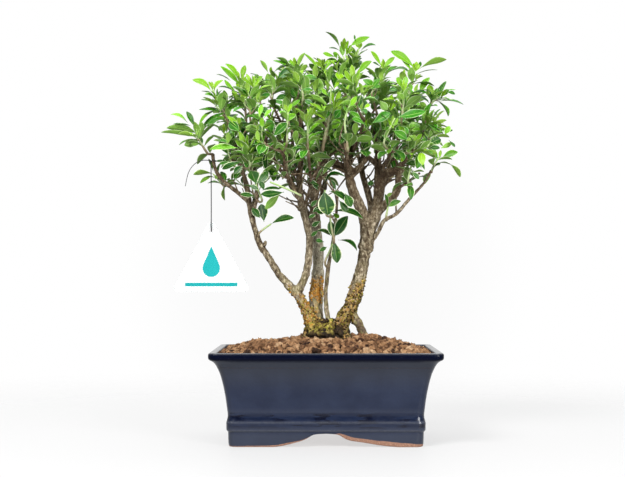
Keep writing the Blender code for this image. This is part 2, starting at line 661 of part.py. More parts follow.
def rounded_corner(here, before, after):
    """Points on an arc that rounds one corner of a flat outline."""
    inward = ((before - here).normalized() + (after - here).normalized()).normalized()
    half_angle = (before - here).angle(after - here) / 2
    centre = here + inward * TAG_CORNER / math.sin(half_angle)
    facing = math.atan2(-inward.y, -inward.x)
    turn = math.pi / 2 - half_angle
    arc = []
    for step in range(TAG_CORNER_STEPS + 1):
        angle = facing - turn + 2 * turn * step / TAG_CORNER_STEPS
        arc.append(centre + TAG_CORNER * Vector((math.cos(angle), math.sin(angle))))
    return arc


def make_tag(parts, tools):
    """The plain three-cornered hang tag with its hole."""
    apex_x, apex_z = TAG_APEX
    corners = [Vector((apex_x, apex_z)), Vector((apex_x - TAG_HALF_WIDTH, TAG_FOOT)),
               Vector((apex_x + TAG_HALF_WIDTH, TAG_FOOT))]
    outline = []
    for index, corner in enumerate(corners):
        outline += rounded_corner(corner, corners[index - 1], corners[(index + 1) % 3])
    points = [place(x, TAG_Y - TAG_THICKNESS / 2, z) for x, z in outline]
    plate = prism("tag", points, (0, TAG_THICKNESS, 0), parts)
    hole = cylinder("cut_tag_hole", (apex_x, TAG_Y, TAG_HOLE), TAG_HOLE_RADIUS,
                    5 * TAG_THICKNESS, Matrix.Rotation(math.pi / 2, 4, "X"), tools, 16)
    return combined(plate, [hide_cutter(hole)], "DIFFERENCE")


def wire_route():
    """The wire's middle line: once round the branch, down, and hooked through the tag's hole."""
    x, y, z = WIRE_TOP
    route = []
    for step in range(WIRE_RING_STEPS + 1):
        share = step / WIRE_RING_STEPS
        angle = math.radians(WIRE_RING_START + WIRE_RING_TURN * share)
        route.append((x + WIRE_RING * math.cos(angle), y + WIRE_RING * math.sin(angle),
                      z - WIRE_RING_DROP * share))
    front = TAG_Y - WIRE_HOOK
    bend = TAG_HOLE + 0.4
    apex_x = TAG_APEX[0]
    route += [(x - 2.2, y - 2.6, z - 3.5), (x - 2.0, front + 0.3, z - 8.0),
              (x - 1.8, front + 0.2, z - 24.0), (x - 1.7, front, z - 44.0),
              (apex_x, front, bend + 8.0), (apex_x, front, bend)]
    for step in range(1, HOOK_STEPS + 1):
        angle = math.pi + math.pi * step / HOOK_STEPS
        route.append((apex_x, TAG_Y + WIRE_HOOK * math.cos(angle),
                      bend + WIRE_HOOK * math.sin(angle)))
    route.append((apex_x, TAG_Y + WIRE_HOOK, bend + HOOK_END))
    return route


def make_wire(parts):
    """The black wire that holds the tag."""
    route = smooth_route(wire_route(), WIRE_STEP)
    return tube("tag_wire", route, [WIRE_RADIUS] * len(route), 2, parts)


def build():
    """Make every piece of the bonsai."""
    for old in list(bpy.data.objects):
        bpy.data.objects.remove(old)
    parts = new_collection("serissa_bonsai")
    tools = new_collection("cutters")

    pot = make_pot(parts, tools)
    limbs = make_limbs("trunk_and_branches", parts)
    clearance = hide_cutter(make_limbs("cut_limbs", tools, GAP))
    soil = make_soil(parts, clearance)
    grit = make_grit(parts, tools, clearance)
    moss = make_moss(parts, clearance)
    left_mesh = make_drainage_mesh("drainage_mesh_left", -DRAIN_OFFSET, parts)
    right_mesh = make_drainage_mesh("drainage_mesh_right", DRAIN_OFFSET, parts)
    tag = make_tag(parts, tools)
    wire = make_wire(parts)
    shoots = make_shoots(parts, limbs, wire)

    paint(pot, NAVY_GLAZE, 0.15)
    paint(limbs, BARK, 0.85)
    paint(soil, DARK_SOIL, 0.95)
    paint(grit, TAN_GRIT, 0.9)
    paint(moss, MOSS_GREEN, 0.95)
    paint(left_mesh, BLACK, 0.6)
    paint(right_mesh, BLACK, 0.6)
    paint(tag, TAG_WHITE, 0.35)
    paint(wire, BLACK, 0.4)
    for shoot in shoots:
        paint(shoot, LEAF_GREEN, 0.4, sharp_above=20)


build()
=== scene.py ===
"""Serissa bonsai in a navy glazed pot, with its hang tag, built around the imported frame.

Sizes are in millimetres and measured from the middle of the pot's underside, +X to the right,
+Y to the back and +Z up, until make_piece turns them into metres in the frame.
"""
import math
import random

import bpy
import numpy as np
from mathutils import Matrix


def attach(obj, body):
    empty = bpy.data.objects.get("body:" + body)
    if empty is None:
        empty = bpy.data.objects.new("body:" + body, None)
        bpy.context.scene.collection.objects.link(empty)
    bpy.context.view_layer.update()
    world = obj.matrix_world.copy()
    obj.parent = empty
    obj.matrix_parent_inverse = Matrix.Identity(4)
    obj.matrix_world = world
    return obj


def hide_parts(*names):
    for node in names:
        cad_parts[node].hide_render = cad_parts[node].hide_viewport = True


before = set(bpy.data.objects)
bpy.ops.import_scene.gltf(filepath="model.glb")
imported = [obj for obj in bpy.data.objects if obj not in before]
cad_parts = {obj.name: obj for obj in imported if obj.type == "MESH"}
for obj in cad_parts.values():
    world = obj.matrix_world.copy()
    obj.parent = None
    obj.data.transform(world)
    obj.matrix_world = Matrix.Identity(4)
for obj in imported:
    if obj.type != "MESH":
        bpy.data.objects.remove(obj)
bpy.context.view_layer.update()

MM = 0.001
POT_PLACE = np.array((12.5, 1.8, 0.0))
UP = np.array((0.0, 0.0, 1.0))
GAP = 0.3
# How far a rod's ends bulge, in radii, and how large the bumps of rough bark are.
START_BULGE = 0.3
END_BULGE = 0.5
BARK_BUMP = 6.0


# Shapes: small surfaces of points, faces and values, worked out as whole arrays.

class Surface:
    """Points, the four- and three-cornered faces between them, and values at the points."""

    def __init__(self, points, quads, triangles=None, caps=(), **values):
        self.points = np.asarray(points, float).reshape(-1, 3)
        self.quads = np.asarray(quads, int).reshape(-1, 4)
        empty = np.empty((0, 3), int)
        self.triangles = empty if triangles is None else np.asarray(triangles, int).reshape(-1, 3)
        self.caps = [list(cap) for cap in caps]
        self.values = values


def unit(vectors):
    """Vectors made one long."""
    return vectors / np.maximum(np.linalg.norm(vectors, axis=-1, keepdims=True), 1e-9)


def grid_faces(rows, columns):
    """Faces of a grid whose columns run round and close on themselves."""
    row, column = np.meshgrid(np.arange(rows - 1), np.arange(columns), indexing="ij")
    beside = (column + 1) % columns
    corners = [row * columns + column, row * columns + beside,
               (row + 1) * columns + beside, (row + 1) * columns + column]
    return np.stack(corners, -1).reshape(-1, 4)


def end_fans(rows, columns, start_pole, end_pole):
    """Triangles that close a round grid at both ends, each around one more point."""
    around = np.arange(columns)
    beside = (around + 1) % columns
    last = (rows - 1) * columns
    start = np.stack([np.full(columns, start_pole), beside, around], -1)
    end = np.stack([np.full(columns, end_pole), last + around, last + beside], -1)
    return np.concatenate([start, end])


def wave_noise(points, size, seed, octaves=3):
    """Soft noise from -1 to 1: sine waves in random directions, halved in size each octave."""
    draw = np.random.default_rng(seed)
    total = np.zeros(points.shape[:-1])
    for octave in range(octaves):
        heading = unit(draw.normal(size=(6, 3))) * (2 * math.pi / size) * 2 ** octave
        phase = draw.uniform(0, 2 * math.pi, 6)
        total += np.sin(points @ heading.T + phase).sum(-1) / 3 * 0.5 ** octave
    return np.clip(total, -1, 1)


def smooth_route(points, spacing):
    """Points about every spacing along a Catmull-Rom curve through the given points."""
    knots = np.asarray(points, float)
    ends = np.concatenate([[2 * knots[0] - knots[1]], knots, [2 * knots[-1] - knots[-2]]])
    route = [knots[:1]]
    for before, start, end, after in zip(ends, ends[1:], ends[2:], ends[3:]):
        steps = max(1, round(float(np.linalg.norm(end - start)) / spacing))
        t = (np.arange(1, steps + 1) / steps)[:, None]
        route.append(0.5 * (2 * start + (end - before) * t
                            + (2 * before - 5 * start + 4 * end - after) * t ** 2
                            + (3 * start - before - 3 * end + after) * t ** 3))
    return np.concatenate(route)


def route_frames(route):
    """Along a route: its direction and two directions across it that twist as little as can be."""
    heading = unit(np.gradient(route, axis=0))
    across = np.empty_like(route)
    side = np.cross(heading[0], UP)
    if np.linalg.norm(side) < 0.1:
        side = np.array((1.0, 0.0, 0.0))
    for place, direction in enumerate(heading):
        side = unit(side - direction * (side @ direction))
        across[place] = side
    return heading, across, np.cross(heading, across)


def rod(route, radii, sides, relief=0.0, seed=0):
    """A closed rod: circles of the given radii carried along a route, roughened by noise."""
    heading, across, other = route_frames(route)
    turn = np.linspace(0, 2 * math.pi, sides, endpoint=False)
    spoke = across[:, None] * np.cos(turn)[:, None] + other[:, None] * np.sin(turn)[:, None]
    size = np.asarray(radii, float)[:, None] * np.ones(sides)
    if relief:
        rough = wave_noise(route[:, None] + spoke * size[..., None], BARK_BUMP, seed)
        size = size * (1 + relief * rough)
    points = (route[:, None] + spoke * size[..., None]).reshape(-1, 3)
    ends = np.stack([route[0] - heading[0] * size[0, 0] * START_BULGE,
                     route[-1] + heading[-1] * size[-1, 0] * END_BULGE])
    rows = len(route)
    fans = end_fans(rows, sides, rows * sides, rows * sides + 1)
    share = np.append(np.repeat(np.linspace(0, 1, rows), sides), (0.0, 1.0))
    return Surface(np.concatenate([points, ends]), grid_faces(rows, sides), fans, along=share)


def globe(lift, turn):
    """Points of a globe one long, by their angle from its top and their angle round it."""
    return np.stack([np.sin(lift) * np.cos(turn), np.sin(lift) * np.sin(turn),
                     np.cos(lift) * np.ones_like(turn)], -1)


def ring_shell(rings, downward=False, **values):
    """Rings of points that run up a shape, or down it, closed by a flat face at both ends."""
    rows, columns = rings.shape[:2]
    faces = grid_faces(rows, columns)
    first = list(range(columns))
    last = list(range((rows - 1) * columns, rows * columns))
    if downward:
        return Surface(rings, faces[:, ::-1], caps=[first, last[::-1]], **values)
    return Surface(rings, faces, caps=[first[::-1], last], **values)


def make_piece(name, surfaces, materials, replaces=(), smooth_under=None):
    """A mesh object from surfaces, the n-th of which takes the n-th material, riding the frame.

    Surfaces may be lists, whose members share a material."""
    points, faces, skins, values = [], [], [], {}
    offset = 0
    groups = [group if isinstance(group, list) else [group] for group in surfaces]
    names = sorted({key for group in groups for surface in group for key in surface.values})
    for skin, group in enumerate(groups):
        for surface in group:
            points.append(surface.points)
            new = (surface.quads + offset).tolist() + (surface.triangles + offset).tolist()
            new += [[corner + offset for corner in cap] for cap in surface.caps]
            faces += new
            skins += [skin] * len(new)
            for key in names:
                value = surface.values.get(key, np.zeros(len(surface.points)))
                values.setdefault(key, []).append(value)
            offset += len(surface.points)
    mesh = bpy.data.meshes.new(name)
    mesh.from_pydata(((np.concatenate(points) + POT_PLACE) * MM).tolist(), [], faces)
    mesh.polygons.foreach_set("material_index", skins)
    for key in names:
        layer = mesh.attributes.new(key, "FLOAT", "POINT")
        layer.data.foreach_set("value", np.concatenate(values[key]).astype(np.float32))
    for material in materials:
        mesh.materials.append(material)
    mesh.shade_smooth()
    if smooth_under is not None:
        mesh.set_sharp_from_angle(angle=math.radians(smooth_under))
    piece = bpy.data.objects.new(name, mesh)
    bpy.context.scene.collection.objects.link(piece)
    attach(piece, "root")
    if replaces:
        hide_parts(*replaces)
    return piece


# The camera stands where the photograph's did, worked out from the four corners of the rim.

CAMERA_PLACE = (0.0097, -1.2682, 0.1545)
CAMERA_LENS = 78.74
CAMERA_SENSOR = 36.0
CAMERA_NEAR = 0.05
CAMERA_FAR = 50.0
CAMERA_PITCH = 1.404
CAMERA_YAW = 0.4275


def make_camera():
    """The photograph's camera."""
    data = bpy.data.cameras.new("camera")
    data.lens = CAMERA_LENS
    data.sensor_width = CAMERA_SENSOR
    data.clip_start = CAMERA_NEAR
    data.clip_end = CAMERA_FAR
    camera = bpy.data.objects.new("camera", data)
    camera.location = CAMERA_PLACE
    camera.rotation_euler = (math.radians(90 + CAMERA_PITCH), 0, math.radians(CAMERA_YAW))
    bpy.context.scene.collection.objects.link(camera)
    bpy.context.scene.camera = camera


make_camera()

# The same camera for reading the photograph: its middle and focal length in pixels, and the
# camera's distance, height and place to the right in millimetres.
PHOTO_CENTRE = (322.7, 272.0)
PHOTO_FOCUS = 1367.0
CAMERA_AWAY = 1270.0
CAMERA_HEIGHT = 154.5
CAMERA_ASIDE = -2.8


def seen_at(column, row, depth):
    """The point, so far behind the pot's middle, that the photograph shows at a pixel."""
    scale = (CAMERA_AWAY + depth) / PHOTO_FOCUS
    return np.array(((column - PHOTO_CENTRE[0]) * scale + CAMERA_ASIDE, depth,
                     CAMERA_HEIGHT - (row - PHOTO_CENTRE[1]) * scale))


# Materials: plain node helpers, one shared mottling, and then one function for each finish.

def fed(tree, node, inputs):
    """A shader node whose inputs are set to values or fed by other outputs."""
    for socket, value in inputs.items():
        if isinstance(value, bpy.types.NodeSocket):
            tree.links.new(value, node.inputs[socket])
        else:
            node.inputs[socket].default_value = value
    return node


def add(tree, kind, inputs=None, **settings):
    """A new shader node with its settings and its inputs."""
    node = tree.nodes.new("ShaderNode" + kind)
    for key, value in settings.items():
        setattr(node, key, value)
    return fed(tree, node, inputs or {})


def ramp(tree, value, stops):
    """Colours over a value: (place, colour) stops."""
    node = add(tree, "ValToRGB", {"Fac": value})
    elements = node.color_ramp.elements
    while len(elements) < len(stops):
        elements.new(0.5)
    for element, (place, colour) in zip(elements, stops):
        element.position = place
        element.color = (*colour, 1.0)
    return node.outputs["Color"]


def blend_colours(tree, share, first, second):
    """Two colours mixed by a share."""
    sockets = {0: share, 6: first, 7: second}
    for socket, value in sockets.items():
        if socket and not isinstance(value, bpy.types.NodeSocket):
            sockets[socket] = (*value[:3], 1.0)
    return add(tree, "Mix", sockets, data_type="RGBA").outputs[2]


def reckon(tree, operation, first, second=0.0, third=0.0):
    """A value worked out from others."""
    return add(tree, "Math", {0: first, 1: second, 2: third}, operation=operation).outputs[0]


def times(tree, first, second):
    """Two values multiplied."""
    return reckon(tree, "MULTIPLY", first, second)


def plus(tree, first, second):
    """Two values added."""
    return reckon(tree, "ADD", first, second)


def swing(tree, tone, size):
    """A tone from 0 to 1 made a value that swings by half a size to both sides of 0."""
    return reckon(tree, "MULTIPLY_ADD", tone, size, -size / 2)


def between(tree, value, low, high, from_low=0.0, from_high=1.0):
    """A value carried smoothly from one range onto another."""
    inputs = {"Value": value, "From Min": low, "From Max": high,
              "To Min": from_low, "To Max": from_high}
    return add(tree, "MapRange", inputs, interpolation_type="SMOOTHSTEP").outputs["Result"]


def position(tree):
    """The point on the piece, in metres in the frame."""
    return add(tree, "TexCoord").outputs["Object"]


def stretched(tree, scale):
    """The point on the piece with each axis scaled."""
    return add(tree, "Mapping", {"Vector": position(tree), "Scale": scale}).outputs["Vector"]


def attribute(tree, name):
    """A value that the mesh carries at its points."""
    return add(tree, "Attribute", attribute_name=name).outputs["Fac"]


def make_mottle_group():
    """Mottle: a coarse tone and a fine grain from noise at a point, both from 0 to 1."""
    group = bpy.data.node_groups.new("mottle", "ShaderNodeTree")
    group.interface.new_socket("Point", in_out="INPUT", socket_type="NodeSocketVector")
    for name, value in (("Patch Scale", 60.0), ("Grain Scale", 900.0), ("Contrast", 0.6)):
        socket = group.interface.new_socket(name, in_out="INPUT", socket_type="NodeSocketFloat")
        socket.default_value = value
    for name in ("Tone", "Grain"):
        group.interface.new_socket(name, in_out="OUTPUT", socket_type="NodeSocketFloat")
    inside = group.nodes.new("NodeGroupInput")
    outside = group.nodes.new("NodeGroupOutput")
    patches = add(group, "TexNoise", {"Vector": inside.outputs["Point"],
                                      "Scale": inside.outputs["Patch Scale"], "Detail": 5.0})
    grain = add(group, "TexNoise", {"Vector": inside.outputs["Point"],
                                    "Scale": inside.outputs["Grain Scale"], "Detail": 3.0})
    low = times(group, inside.outputs["Contrast"], 0.5)
    tone = add(group, "MapRange", {"Value": patches.outputs["Fac"], "From Min": low,
                                   "From Max": reckon(group, "SUBTRACT", 1.0, low)})
    group.links.new(tone.outputs["Result"], outside.inputs["Tone"])
    group.links.new(grain.outputs["Fac"], outside.inputs["Grain"])
    return group


MOTTLE = make_mottle_group()


def mottle(tree, point, patch_scale, grain_scale, contrast=0.6):
    """The mottle group's tone and grain."""
    inputs = {"Point": point, "Patch Scale": patch_scale, "Grain Scale": grain_scale,
              "Contrast": contrast}
    node = tree.nodes.new("ShaderNodeGroup")
    node.node_tree = MOTTLE
    return fed(tree, node, inputs).outputs


def new_finish(name, roughness, specular=0.5):
    """A new material with its Principled shader and node tree."""
    material = bpy.data.materials.new(name)
    material.use_nodes = True
    tree = material.node_tree
    shader = tree.nodes["Principled BSDF"]
    fed(tree, shader, {"Roughness": roughness, "Specular IOR Level": specular})
    return material, tree, shader


def painted(material, colour, relief, depth):
    """The material with its colour and with a relief that stands so many metres proud."""
    tree = material.node_tree
    node = add(tree, "Bump", {"Height": relief, "Distance": depth, "Strength": 1.0})
    fed(tree, tree.nodes["Principled BSDF"],
        {"Base Color": colour, "Normal": node.outputs["Normal"]})
    return material


def coordinates(tree):
    """The point's three coordinates in millimetres in the frame."""
    point = add(tree, "VectorMath", {0: position(tree), 3: 1000.0}, operation="SCALE")
    return add(tree, "SeparateXYZ", {0: point.outputs["Vector"]}).outputs


# Heights between which the glaze changes from one look to the next; some of these looks are
# painted light and shade: a painted sheen up the wall, painted shade on the lip's face and in the
# cove.
UPPER_WALL_PAINTED_SHEEN = (45.0, 72.0)
LOWEST_BAND = (9.0, 14.0)
LIP_PAINTED_SHADE = (75.6, 77.4)
COVE_FOOT = (14.5, 18.5)
COVE_HEAD = (28.0, 32.0)
LIP_FOOT = (74.0, 77.0)
POOL_ON_RIM = (82.8, 83.2)
CLAY_BLUR = (-0.15, 0.25)
CLAY_WOBBLE = 1.2


def glaze_finish():
    """Navy glaze, thin and brown over the edges, ending in bare clay along the feet; thick and
    mirror-smooth on top of the rim. Painted light and shade: a grey sheen painted up the wall,
    and painted shade near black on the lip's face and in the cove above the feet."""
    material, tree, shader = new_finish("navy_glaze", 0.2)
    tone, grain = mottle(tree, position(tree), 45.0, 1500.0, 0.4)
    z = coordinates(tree)[2]
    navy = ramp(tree, tone, [(0.25, (0.006, 0.0105, 0.028)), (0.75, (0.0105, 0.0165, 0.038))])
    cloud, fleck = mottle(tree, stretched(tree, (0.5, 0.5, 1)), 330.0, 2600.0)
    # Painted sheen: the upper wall is drawn greyer and lighter, as a reflection of the bright
    # room.
    high = between(tree, z, *UPPER_WALL_PAINTED_SHEEN, 0.0, 0.38)
    body = blend_colours(tree, high, navy, (0.035, 0.037, 0.038))
    low = between(tree, z, *LOWEST_BAND, 0.3, 0.0)
    body = blend_colours(tree, low, body, (0.045, 0.05, 0.062))
    # Painted shade: the lip's face and the rim above it are drawn near black, as a dark
    # reflection.
    body = blend_colours(tree, between(tree, z, *LIP_PAINTED_SHADE), body, (0.0005, 0.0015, 0.009))
    # Painted shade: the cove under the band is drawn near black, broken into streaks and patches.
    deep = times(tree, between(tree, z, *COVE_FOOT), between(tree, z, *COVE_HEAD, 1.0, 0.0))
    streak, _ = mottle(tree, stretched(tree, (0.13, 0.13, 1)), 300.0, 900.0, 0.7)
    deep = times(tree, deep, between(tree, streak, 0.35, 0.62, 0.15, 1.0))
    deep = times(tree, deep, between(tree, tone, 0.38, 0.6, 0.3, 0.9))
    body = blend_colours(tree, deep, body, (0.0005, 0.001, 0.007))
    speck = times(tree, between(tree, grain, 0.64, 0.72), 0.2)
    body = blend_colours(tree, speck, body, (0.05, 0.055, 0.075))
    worn = times(tree, attribute(tree, "edge"), between(tree, fleck, 0.35, 0.62, 0.35, 1.0))
    body = blend_colours(tree, times(tree, worn, 0.7), body, (0.08, 0.085, 0.1))
    wobble, clay_grain = mottle(tree, stretched(tree, (1, 1, 0.3)), 50.0, 1800.0, 0.3)
    height = plus(tree, z, swing(tree, wobble, -CLAY_WOBBLE))
    above_line = reckon(tree, "SUBTRACT", height, attribute(tree, "clay_line"))
    bare = between(tree, above_line, *CLAY_BLUR, 1.0, 0.0)
    clay = ramp(tree, clay_grain, [(0.3, (0.14, 0.07, 0.045)), (0.6, (0.25, 0.135, 0.09)),
                                   (0.8, (0.36, 0.22, 0.16))])
    glossy = between(tree, cloud, 0.2, 0.8, 0.16, 0.26)
    rough = add(tree, "Mix", {0: bare, 2: glossy, 3: 0.9}, data_type="FLOAT").outputs[0]
    fed(tree, shader, {"Roughness": rough, "Coat Roughness": 0.05, "Coat IOR": 2.0,
                       "Specular IOR Level": between(tree, z, *LIP_FOOT, 0.3, 0.06),
                       "Coat Weight": between(tree, z, *POOL_ON_RIM)})
    return painted(material, blend_colours(tree, bare, body, clay),
                   plus(tree, cloud, times(tree, grain, 0.25)), 0.0001)


# Where the bark changes: heights, and depths and sides where a trunk stands apart.
LIMB_SHADE = (205.0, 262.0)
LIMB_BROWN = (185.0, 245.0)
MIDDLE_TRUNK_DEPTH = (3.0, 8.0)
MIDDLE_TRUNK_TOP = (185.0, 205.0)
SIDE_ROOT_TOP = (106.0, 121.0)
SIDE_ROOT_LEFT = (35.0, 41.0)
MOSSY_FOOT = (100.0, 185.0)


def bark_finish():
    """Grey-brown bark with dark fissures along the stem, moss at the foot, orange lichen."""
    material, tree, _ = new_finish("bark", 0.85, specular=0.25)
    point = position(tree)
    x, y, z = coordinates(tree)
    tone, grain = mottle(tree, stretched(tree, (1, 1, 0.6)), 420.0, 1900.0, 0.5)
    broad, _ = mottle(tree, stretched(tree, (1, 1, 0.4)), 70.0, 1200.0)
    plates, fine = mottle(tree, stretched(tree, (1, 1, 0.3)), 900.0, 2600.0, 0.75)
    share = plus(tree, tone, between(tree, z, *LIMB_SHADE, 0.04, -0.2))
    share = plus(tree, share, swing(tree, broad, 0.24))
    share = plus(tree, share, swing(tree, fine, 1.1))
    colour = ramp(tree, share, [(0.12, (0.035, 0.022, 0.012)), (0.36, (0.115, 0.085, 0.05)),
                                (0.6, (0.22, 0.18, 0.11)), (0.85, (0.46, 0.39, 0.28))])
    pale = times(tree, between(tree, y, *MIDDLE_TRUNK_DEPTH),
                 between(tree, z, *MIDDLE_TRUNK_TOP, 1.0, 0.0))
    pale = times(tree, pale, between(tree, fine, 0.3, 0.6, 0.25, 0.7))
    colour = blend_colours(tree, pale, colour, (0.55, 0.52, 0.4))
    high = between(tree, z, *LIMB_BROWN, 0.0, 0.45)
    colour = blend_colours(tree, high, colour, (0.12, 0.075, 0.042))
    root = times(tree, between(tree, z, *SIDE_ROOT_TOP, 1.0, 0.0),
                 between(tree, x, *SIDE_ROOT_LEFT, 0.0, 0.8))
    colour = blend_colours(tree, root, colour, (0.06, 0.05, 0.042))
    crack = times(tree, between(tree, plates, 0.2, 0.42, 1.0, 0.0), 0.6)
    colour = blend_colours(tree, crack, colour, (0.07, 0.045, 0.024))
    patch, _ = mottle(tree, point, 170.0, 500.0, 0.9)
    green = times(tree, between(tree, z, *MOSSY_FOOT, 1.0, 0.0), between(tree, patch, 0.45, 0.7))
    colour = blend_colours(tree, times(tree, green, 0.5), colour, (0.27, 0.25, 0.1))
    spots, _ = mottle(tree, point, 420.0, 900.0, 0.9)
    orange = times(tree, attribute(tree, "lichen"), between(tree, spots, 0.25, 0.55, 0.35, 1.0))
    rust = ramp(tree, grain, [(0.35, (0.2, 0.1, 0.025)), (0.55, (0.46, 0.25, 0.06)),
                              (0.75, (0.66, 0.47, 0.2))])
    colour = blend_colours(tree, orange, colour, rust)
    return painted(material, colour, plus(tree, plates, times(tree, grain, 0.4)), 0.0006)


def twig_finish():
    """Young wood: brown at the foot of a shoot, turning pale green towards its tip."""
    material, tree, _ = new_finish("young_stem", 0.6, specular=0.3)
    tone, grain = mottle(tree, position(tree), 300.0, 1500.0)
    share = plus(tree, attribute(tree, "along"), swing(tree, tone, 0.3))
    colour = ramp(tree, share, [(0.1, (0.15, 0.1, 0.06)), (0.42, (0.22, 0.18, 0.1)),
                                (0.62, (0.3, 0.36, 0.18)), (1.0, (0.29, 0.43, 0.14))])
    return painted(material, colour, grain, 0.0002)


# The leaf's pattern: how many radians of side veins it has along it and how far they slant, how
# the midrib thins from the leaf's foot to its tip, and where the cream margin starts.
VEIN_TURNS = 62.0
VEIN_SLANT = 0.22
RIB_WIDTH = 0.08
RIB_TAPER = 0.04
MARGIN_EDGE = (0.83, 0.92)


def leaf_finish():
    """A glossy leaf: dark when old and lime when young, with a pale midrib, side veins and a
    thin cream margin, and a grey-green underside."""
    material, tree, shader = new_finish("serissa_leaf", 0.38, specular=0.2)
    down = attribute(tree, "down_leaf")
    side = reckon(tree, "ABSOLUTE", attribute(tree, "across"))
    under = reckon(tree, "GREATER_THAN", attribute(tree, "under"), 0.01)
    tone, _ = mottle(tree, position(tree), 220.0, 1400.0)
    shade = plus(tree, attribute(tree, "youth"), swing(tree, tone, 0.16))
    blade = ramp(tree, shade, [(0.0, (0.004, 0.055, 0.002)), (0.2, (0.022, 0.13, 0.003)),
                               (0.42, (0.095, 0.275, 0.006)), (0.75, (0.145, 0.3, 0.007)),
                               (1.0, (0.17, 0.31, 0.01))])
    slant = reckon(tree, "MULTIPLY_ADD", side, -VEIN_SLANT, down)
    vein = between(tree, reckon(tree, "SINE", times(tree, slant, VEIN_TURNS)), 0.8, 1.0)
    vein = times(tree, vein, between(tree, side, 0.35, 0.65, 1.0, 0.0))
    blade = blend_colours(tree, times(tree, vein, 0.06), blade, (0.3, 0.5, 0.08))
    below = blend_colours(tree, 0.42, blade, (0.25, 0.38, 0.09))
    colour = blend_colours(tree, under, blade, below)
    rib_width = reckon(tree, "MULTIPLY_ADD", down, -RIB_TAPER, RIB_WIDTH)
    rib = between(tree, reckon(tree, "DIVIDE", side, rib_width), 0.5, 1.3, 1.0, 0.0)
    rib = times(tree, rib, 0.32)
    colour = blend_colours(tree, rib, colour, (0.5, 0.7, 0.2))
    margin = times(tree, between(tree, side, *MARGIN_EDGE), attribute(tree, "margin"))
    colour = blend_colours(tree, margin, colour, (0.85, 0.92, 0.6))
    # The tint carries random brightness and painted light and shade by the leaf's height in the
    # crown.
    tinted = add(tree, "HueSaturation", {"Value": attribute(tree, "tint"), "Color": colour})
    dull = add(tree, "Mix", {0: under, 2: 0.36, 3: 0.6}, data_type="FLOAT").outputs[0]
    fed(tree, shader, {"Roughness": dull})
    relief = reckon(tree, "SUBTRACT", times(tree, vein, -0.12), times(tree, rib, 0.8))
    return painted(material, tinted.outputs["Color"], relief, 0.0002)


def grit_finish():
    """Baked clay grit: each grain its own brown, with a crumbly surface."""
    material, tree, _ = new_finish("clay_grit", 0.92, specular=0.2)
    tone, grain = mottle(tree, position(tree), 420.0, 2200.0, 0.7)
    share = plus(tree, attribute(tree, "tint"), swing(tree, tone, 0.3))
    colour = ramp(tree, share, [(0.0, (0.02, 0.009, 0.005)), (0.2, (0.08, 0.036, 0.018)),
                                (0.5, (0.24, 0.125, 0.058)), (0.8, (0.35, 0.2, 0.1)),
                                (1.0, (0.43, 0.28, 0.16))])
    pits = times(tree, between(tree, grain, 0.3, 0.45, 1.0, 0.0), 0.5)
    colour = blend_colours(tree, pits, colour, (0.07, 0.035, 0.022))
    return painted(material, colour, plus(tree, grain, times(tree, tone, 1.5)), 0.0006)


def soil_finish():
    """Dark moist soil."""
    material, tree, _ = new_finish("soil", 0.95, specular=0.2)
    tone, grain = mottle(tree, position(tree), 250.0, 1300.0, 0.7)
    colour = ramp(tree, tone, [(0.2, (0.012, 0.008, 0.006)), (0.7, (0.05, 0.03, 0.02))])
    return painted(material, colour, grain, 0.0008)


MOSS_SHADE = (95.0, 106.0)


def moss_finish():
    """Moss: yellow-green tufts over brown, with a few orange spots, darker at its foot."""
    material, tree, _ = new_finish("moss", 0.95, specular=0.15)
    tone, grain = mottle(tree, position(tree), 260.0, 2000.0, 0.8)
    share = plus(tree, attribute(tree, "tint"), swing(tree, tone, 0.3))
    colour = ramp(tree, share, [(0.1, (0.012, 0.009, 0.006)), (0.28, (0.055, 0.036, 0.014)),
                                (0.46, (0.14, 0.1, 0.026)), (0.62, (0.25, 0.23, 0.03)),
                                (0.8, (0.42, 0.33, 0.1)), (0.95, (0.4, 0.18, 0.03))])
    rust = times(tree, between(tree, grain, 0.58, 0.66), 0.5)
    colour = blend_colours(tree, rust, colour, (0.4, 0.2, 0.06))
    foot = between(tree, coordinates(tree)[2], *MOSS_SHADE, 0.75, 0.0)
    colour = blend_colours(tree, foot, colour, (0.035, 0.026, 0.018))
    return painted(material, colour, grain, 0.0006)


def dark_plastic_finish(name, roughness):
    """Black plastic with a faint grain."""
    material, tree, _ = new_finish(name, roughness)
    tone, grain = mottle(tree, position(tree), 300.0, 3000.0)
    colour = ramp(tree, tone, [(0.3, (0.006, 0.006, 0.007)), (0.7, (0.02, 0.02, 0.022))])
    return painted(material, colour, grain, 0.00005)


# The glazed pot.

RIM_HALF_LENGTH = 103.4
RIM_HALF_DEPTH = 77.5
CORNER_RADIUS = 7.0
FOOT_TOP = 13.6
